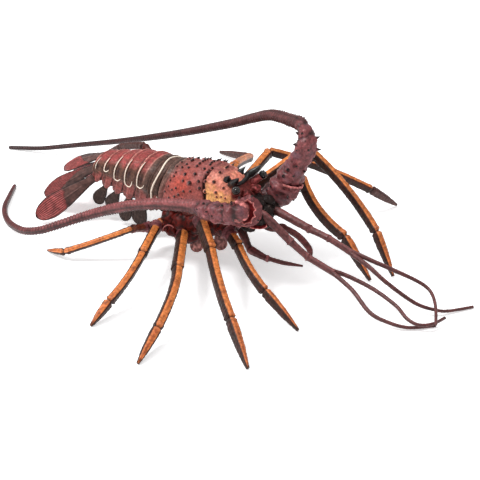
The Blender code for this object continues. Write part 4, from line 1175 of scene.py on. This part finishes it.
def make_antenna(name, skin, points, spines, knobby_length, pink, root_shade, material):
    """A long feeler: spines, a thick knobby end with a collar, and a ringed whip from some length on."""
    for root, out, length, width in spines:
        skin.add_spike(root, out, length, width, ARM_PURPLE, tip_from=0.35)
    route = smooth_route(points, ANTENNA_STEP)
    grid, distance = tube_grid(route, ANTENNA_SIDES), lengths(route)
    whip = ease(distance, knobby_length, knobby_length + 4)
    relief, rings, furrow, teeth = whip_relief(distance, route[:, 3:] / SLIM_RADIUS)
    lumps = 1.1 * knobs(grid, 4.2, 4.0) + 0.55 * knobs(grid, 2.0, 9.0) + 0.2 * cloud(grid, 1.0, 2.0)
    lumps = lumps * (1 - whip)
    seam, collar = bump(distance, knobby_length, 0.8), bump(distance, COLLAR_AT, 1.0)
    thick = np.minimum(route[:, 3:] / 5, 1.1)
    grid = raised(grid, relief * whip + lumps * thick - 0.5 * seam - 0.3 * (1 - whip) - 0.9 * collar)
    grid[..., 2] = np.maximum(grid[..., 2], 0.05)
    mottling = cloud(grid, 4.0, 1.0)
    along = distance / distance.max()
    colour = coats(
        FEELER_DARK,
        # Painted light: the pink grows where the surface faces up, lit on top and shaded underneath.
        (pink, 0.45 + 0.7 * normals(grid)[..., 2] + 0.3 * mottling),
        (FURROW, np.clip(0.7 * furrow + 0.7 * teeth, 0, 1) * whip),
        (FEELER_DARK * 0.5, fade(rings, -0.4, -0.1) * (0.2 + 0.6 * ease(along, 0.25, 0.6)) * whip),
        (FEELER_DARK * 0.5, 0.6 * ease(knobs(grid, 2.0, 33.0), 0.45, 0.8) * whip))
    base = coats(
        knobby_paint(lumps - 0.1),
        (ARM_GREY, np.minimum(1.2 * mottling - 0.1, 0.5)),
        # Painted shade near the root, used on the far feeler.
        (FEELER_DARK * 0.8, root_shade * bump(distance, 0, KNOB_SHADE)),
        (FEELER_DARK * 0.3, 0.9 * collar))
    colour = colour * (1 - TIP_SHADE * ease(along, 0.35, 0.9))[..., None]
    colour = coats(colour, (base, 1 - whip), (FURROW, 0.7 * seam))
    skin.add(grid, cavity(colour, mottling, 1.0, 0.25))
    skin.make(f"{name}_painted", material, "feelers", name)


def add_frill(skin, centre, axis, radius, seed):
    """The flared, ragged rim of a joint's socket: a hollow cup that opens along the axis."""
    axis = unit(np.array(axis, float))
    side, up = axes_across(axis)
    angles = turns(FRILL_SIDES)
    around = side * np.cos(angles)[:, None] + up * np.sin(angles)[:, None]
    teeth = 0.9 * np.abs(np.sin(angles * 5.5 + seed)) ** 8
    teeth += 0.3 * np.sin(angles * 3 + seed) + 0.2 * np.sin(angles * 8)
    rings, colours = [], []
    for offset, scale, colour in FRILL_PROFILE:
        lift = teeth * ease(scale, 0.8, 0.95)
        ring = around * (radius * scale + lift)[:, None]
        rings.append(np.array(centre) + axis * offset * FRILL_DEPTH + ring)
        colours.append(np.broadcast_to(colour, (FRILL_SIDES, 3)))
    grid = np.array(rings)
    skin.add(grid, cavity(np.array(colours), cloud(grid, 1.3, seed), 0.6, 0.4))


def make_antennae(material):
    left = Skin()
    add_frill(left, (25.3, 16.4, 41.0), (0.05, 0.25, 0.96), 6.1, 0.4)
    make_antenna(
        "antenna_left", left, LEFT_ANTENNA, LEFT_SPINES, LEFT_KNOBBY_LENGTH, FEELER_FAR_SHADED, 0.8, material)
    right = Skin()
    grid = smooth_tube(RIGHT_ANTENNA_BASE, ANTENNA_STEP, RIGHT_BASE_SIDES)
    lumps = 0.8 * knobs(grid, 3.2, 14.0) + 0.5 * knobs(grid, 1.8, 19.0)
    right.add(raised(grid, 0.8 * lumps - 0.4), knobby_paint(lumps + 0.15))
    add_frill(right, (23.9, -18.9, 39.6), (0.15, -0.8, 0.5), 5.3, 2.1)
    right.add_hoop((22.0, -20.8, 40.0), (0.1, -0.8, 0.5), 3.4, 1.8, RIM_PINK * 0.75, -120, 120, lumps=1.0)
    make_antenna(
        "antenna_right", right, RIGHT_ANTENNA, RIGHT_SPINES, RIGHT_KNOBBY_LENGTH, FEELER_PINK, 0.0, material)


def add_limb(skin, points, colour, seed, ring_size=0.0, top_colour=None):
    """A thin jointed limb or whip with fine rings, paler where it swells, with painted light: lighter where
    it faces up and darker where it faces down.
    """
    route = smooth_route(points, WHIP_STEP)
    route[:, 3] = np.maximum(route[:, 3], WHIP_RADIUS_MIN)
    grid, radius = tube_grid(route, WHIP_SIDES), route[:, 3:]
    rings = ring_size * np.cos(2 * np.pi * lengths(route) / WHIP_RING)
    grid = raised(grid, rings + 0.08 * cloud(grid, 1.3, seed) * radius)
    grid[..., 2] = np.maximum(grid[..., 2], 0.02)
    facing_up = normals(grid)[..., 2]
    shade = 1 + 0.35 * cloud(grid, 2.2, seed + 1.0) + 0.3 * np.clip(facing_up, -0.6, 0.5)
    shade += bumps(facing_up, TOP_LIGHTS)
    swelling = np.gradient(np.gradient(route[:, 3]))[:, None]
    paint = mix(colour, colour * 1.25 if top_colour is None else top_colour, np.minimum(-swelling * 12, 0.6))
    skin.add(grid, paint * shade[..., None])


def make_thin_limbs(material):
    """The small feelers, each a stem that splits into two whips, and the feeding limbs."""
    for name, (stem, *whips) in SMALL_FEELERS.items():
        skin = Skin()
        add_limb(skin, stem, WHIP, 2.0, top_colour=FEELER_PINK)
        for i, whip in enumerate(whips):
            add_limb(skin, whip, WHIP * 0.75, 4.0 + i, ring_size=0.035)
        skin.make(f"{name}_painted", material, "feelers", name)
    for name, points in JAW_LEGS.items():
        skin = Skin()
        add_limb(skin, points, JAW, 6.0, top_colour=FEELER_PINK)
        skin.make(f"{name}_painted", material, "feelers", name)


def make_face(material):
    """The dark lumps and small plates between the feelers' bases, and the pale-edged plate below them."""
    def dark(relief):
        # Painted highlight in grey on the tops of the dark lumps.
        return mix(FACE_DARK, FACE_HIGHLIGHT_GREY, 0.55 * ease(relief, 0.35, 0.9))

    def flesh(relief):
        # Painted shade in the hollows and a painted highlight on the tops of the red lumps.
        return mix(FACE_RED * 0.5, STALK_RED * 1.3, ease(relief, -0.1, 0.8))

    skin = Skin()
    for i, (x, y, z, *radii) in enumerate(FACE_LUMPS):
        skin.add_lump((x, y, z), radii, dark, 0.9, i * 2.3)
    for side in (-1, 1):
        skin.add_lump((14.2, side * 3.4, 40.0), (2.6, 2.8, 2.0), flesh, 1.3, side * 4.0)
    skin.make("face_lumps", material, "dark")
    grid, share, side = plate_grid(*LIP_PLATE)
    rim = ease(np.abs(side), 0.8, 0.92) + ease(share, 0.94, 0.98)
    paint = cavity(mix(SOCKET_RED, RIM_PINK * 1.3, rim), cloud(grid, 1.4), 0.5, 0.3)
    make_piece("lip_plate", material, "feelers", grid, paint)


def make_eyes(skin_material, eye_material):
    """Black eyes with a raised ring and a dimple, on pinkish stalks."""
    for name, side in (("eye_left", 1), ("eye_right", -1)):
        grid = smooth_tube([(x, side * y, z, radius) for x, y, z, radius in STALK], FINE_STEP, STALK_SIDES)
        relief = 0.25 * cloud(grid, 1.2, side)
        paint = mix(STALK_RED, FACE_RED, ease(-relief, -0.05, 0.15))
        make_piece(f"{name}_stalk", skin_material, "eyes", raised(grid, relief), paint, name)
        x, y, z = EYE_CENTRE
        look = unit(np.array((0.62, side * 0.62, 0.42)))
        across, up = axes_across(look)
        ball, degrees = ball_grid(EYE_ROWS, EYE_SIDES, EYE_POLE_GAP)
        size = EYE_RADIUS * (0.95 + bumps(degrees, EYE_RIDGES))
        grid = (x, side * y, z) + ball @ np.array((across, up, look)) * size[..., None]
        grey = mix(BLACK_PAINT, EYE_GREY, 0.4 * np.clip(bumps(degrees, EYE_LIGHTS), 0, 1))
        make_piece(f"{name}_ball", eye_material, "eyes", grid, grey)


def make_floor():
    bpy.ops.mesh.primitive_plane_add(size=FLOOR_SIZE)
    floor = bpy.context.object
    floor.name = "floor"
    material = bpy.data.materials.new("pale_floor")
    material.use_nodes = True
    shader = material.node_tree.nodes["Principled BSDF"].inputs
    shader["Base Color"].default_value = (0.93, 0.93, 0.94, 1)
    shader["Roughness"].default_value = 0.7
    shader["Emission Color"].default_value = (1, 1, 1, 1)
    shader["Emission Strength"].default_value = FLOOR_GLOW
    floor.data.materials.append(material)


def make_lights():
    world = bpy.data.worlds.new("studio")
    bpy.context.scene.world = world
    world.use_nodes = True
    background = world.node_tree.nodes["Background"].inputs
    background["Color"].default_value = (1, 1, 1, 1)
    background["Strength"].default_value = WORLD_LIGHT
    for name, location, size, power in LAMPS:
        lamp = bpy.data.lights.new(name, "AREA")
        lamp.size = size
        lamp.energy = power
        thing = bpy.data.objects.new(name, lamp)
        thing.location = location
        thing.rotation_euler = (-Vector(location)).to_track_quat("-Z", "Y").to_euler()
        bpy.context.scene.collection.objects.link(thing)


def make_camera():
    right = Vector((math.cos(CAMERA_AZIMUTH), math.sin(CAMERA_AZIMUTH), 0))
    forward = Vector((-math.sin(CAMERA_AZIMUTH), math.cos(CAMERA_AZIMUTH), 0))
    up = Vector((0, 0, 1))
    view = forward * math.cos(CAMERA_ELEVATION) - up * math.sin(CAMERA_ELEVATION)
    view_up = forward * math.sin(CAMERA_ELEVATION) + up * math.cos(CAMERA_ELEVATION)
    data = bpy.data.cameras.new("camera")
    data.sensor_width = SENSOR
    data.lens = SENSOR * CAMERA_DISTANCE / (IMAGE_SIZE * PIXEL)
    data.clip_start = CLIP_START
    camera = bpy.data.objects.new("camera", data)
    camera.location = place(right * VIEW_CENTRE[0] + view_up * VIEW_CENTRE[1] - view * CAMERA_DISTANCE)
    camera.rotation_euler = view.to_track_quat("-Z", "Y").to_euler()
    bpy.context.scene.collection.objects.link(camera)
    bpy.context.scene.camera = camera


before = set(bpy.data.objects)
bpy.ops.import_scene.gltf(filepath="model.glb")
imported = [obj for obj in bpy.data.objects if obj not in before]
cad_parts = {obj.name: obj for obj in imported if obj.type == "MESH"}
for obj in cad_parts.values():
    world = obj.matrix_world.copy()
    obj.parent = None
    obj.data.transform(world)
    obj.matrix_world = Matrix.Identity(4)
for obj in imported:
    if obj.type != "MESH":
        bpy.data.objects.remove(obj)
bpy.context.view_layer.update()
low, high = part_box("carapace")
ORIGIN = np.array((low.x / MM - CARAPACE_REAR, (low.y + high.y) / 2 / MM, 0.0))
bpy.context.scene.view_settings.view_transform = "Standard"

make_camera()
make_lights()
make_floor()
shell_paint = painted("shell_paint")
line_paint = painted("cream_paint", 0.5, mottle=0.05, wash_and_shade=0.08)
tail_paint = painted("tail_paint", mottle=0.14, grain=0.06, wash_and_shade=0.15)
leg_paint = painted("leg_paint", mottle_size=2.2)
feeler_paint = painted("feeler_paint", 0.4, gloss=0.35, mottle_size=2.4)
dark_paint = painted("dark_paint", gloss=0.15, mottle_size=1.5)
spike_paint = painted("spike_paint", 0.36, gloss=0.5, mottle=0.08, wash_and_shade=0.1)
eye_gloss = painted("eye_gloss", 0.16, gloss=0.6, mottle=0.05, grain=0.01, wash_and_shade=0.05)

make_carapace(shell_paint)
make_spikes(spike_paint)
make_brow(spike_paint)
make_abdomen(shell_paint, line_paint)
make_tail(tail_paint)
make_paddles(dark_paint)
make_flaps(dark_paint)
for leg_name, leg_shape in LEGS.items():
    make_leg(leg_name, leg_shape, leg_paint, int(leg_name[-1]))
make_coxae(dark_paint)
make_antennae(feeler_paint)
make_thin_limbs(feeler_paint)
make_face(dark_paint)
make_eyes(shell_paint, eye_gloss)
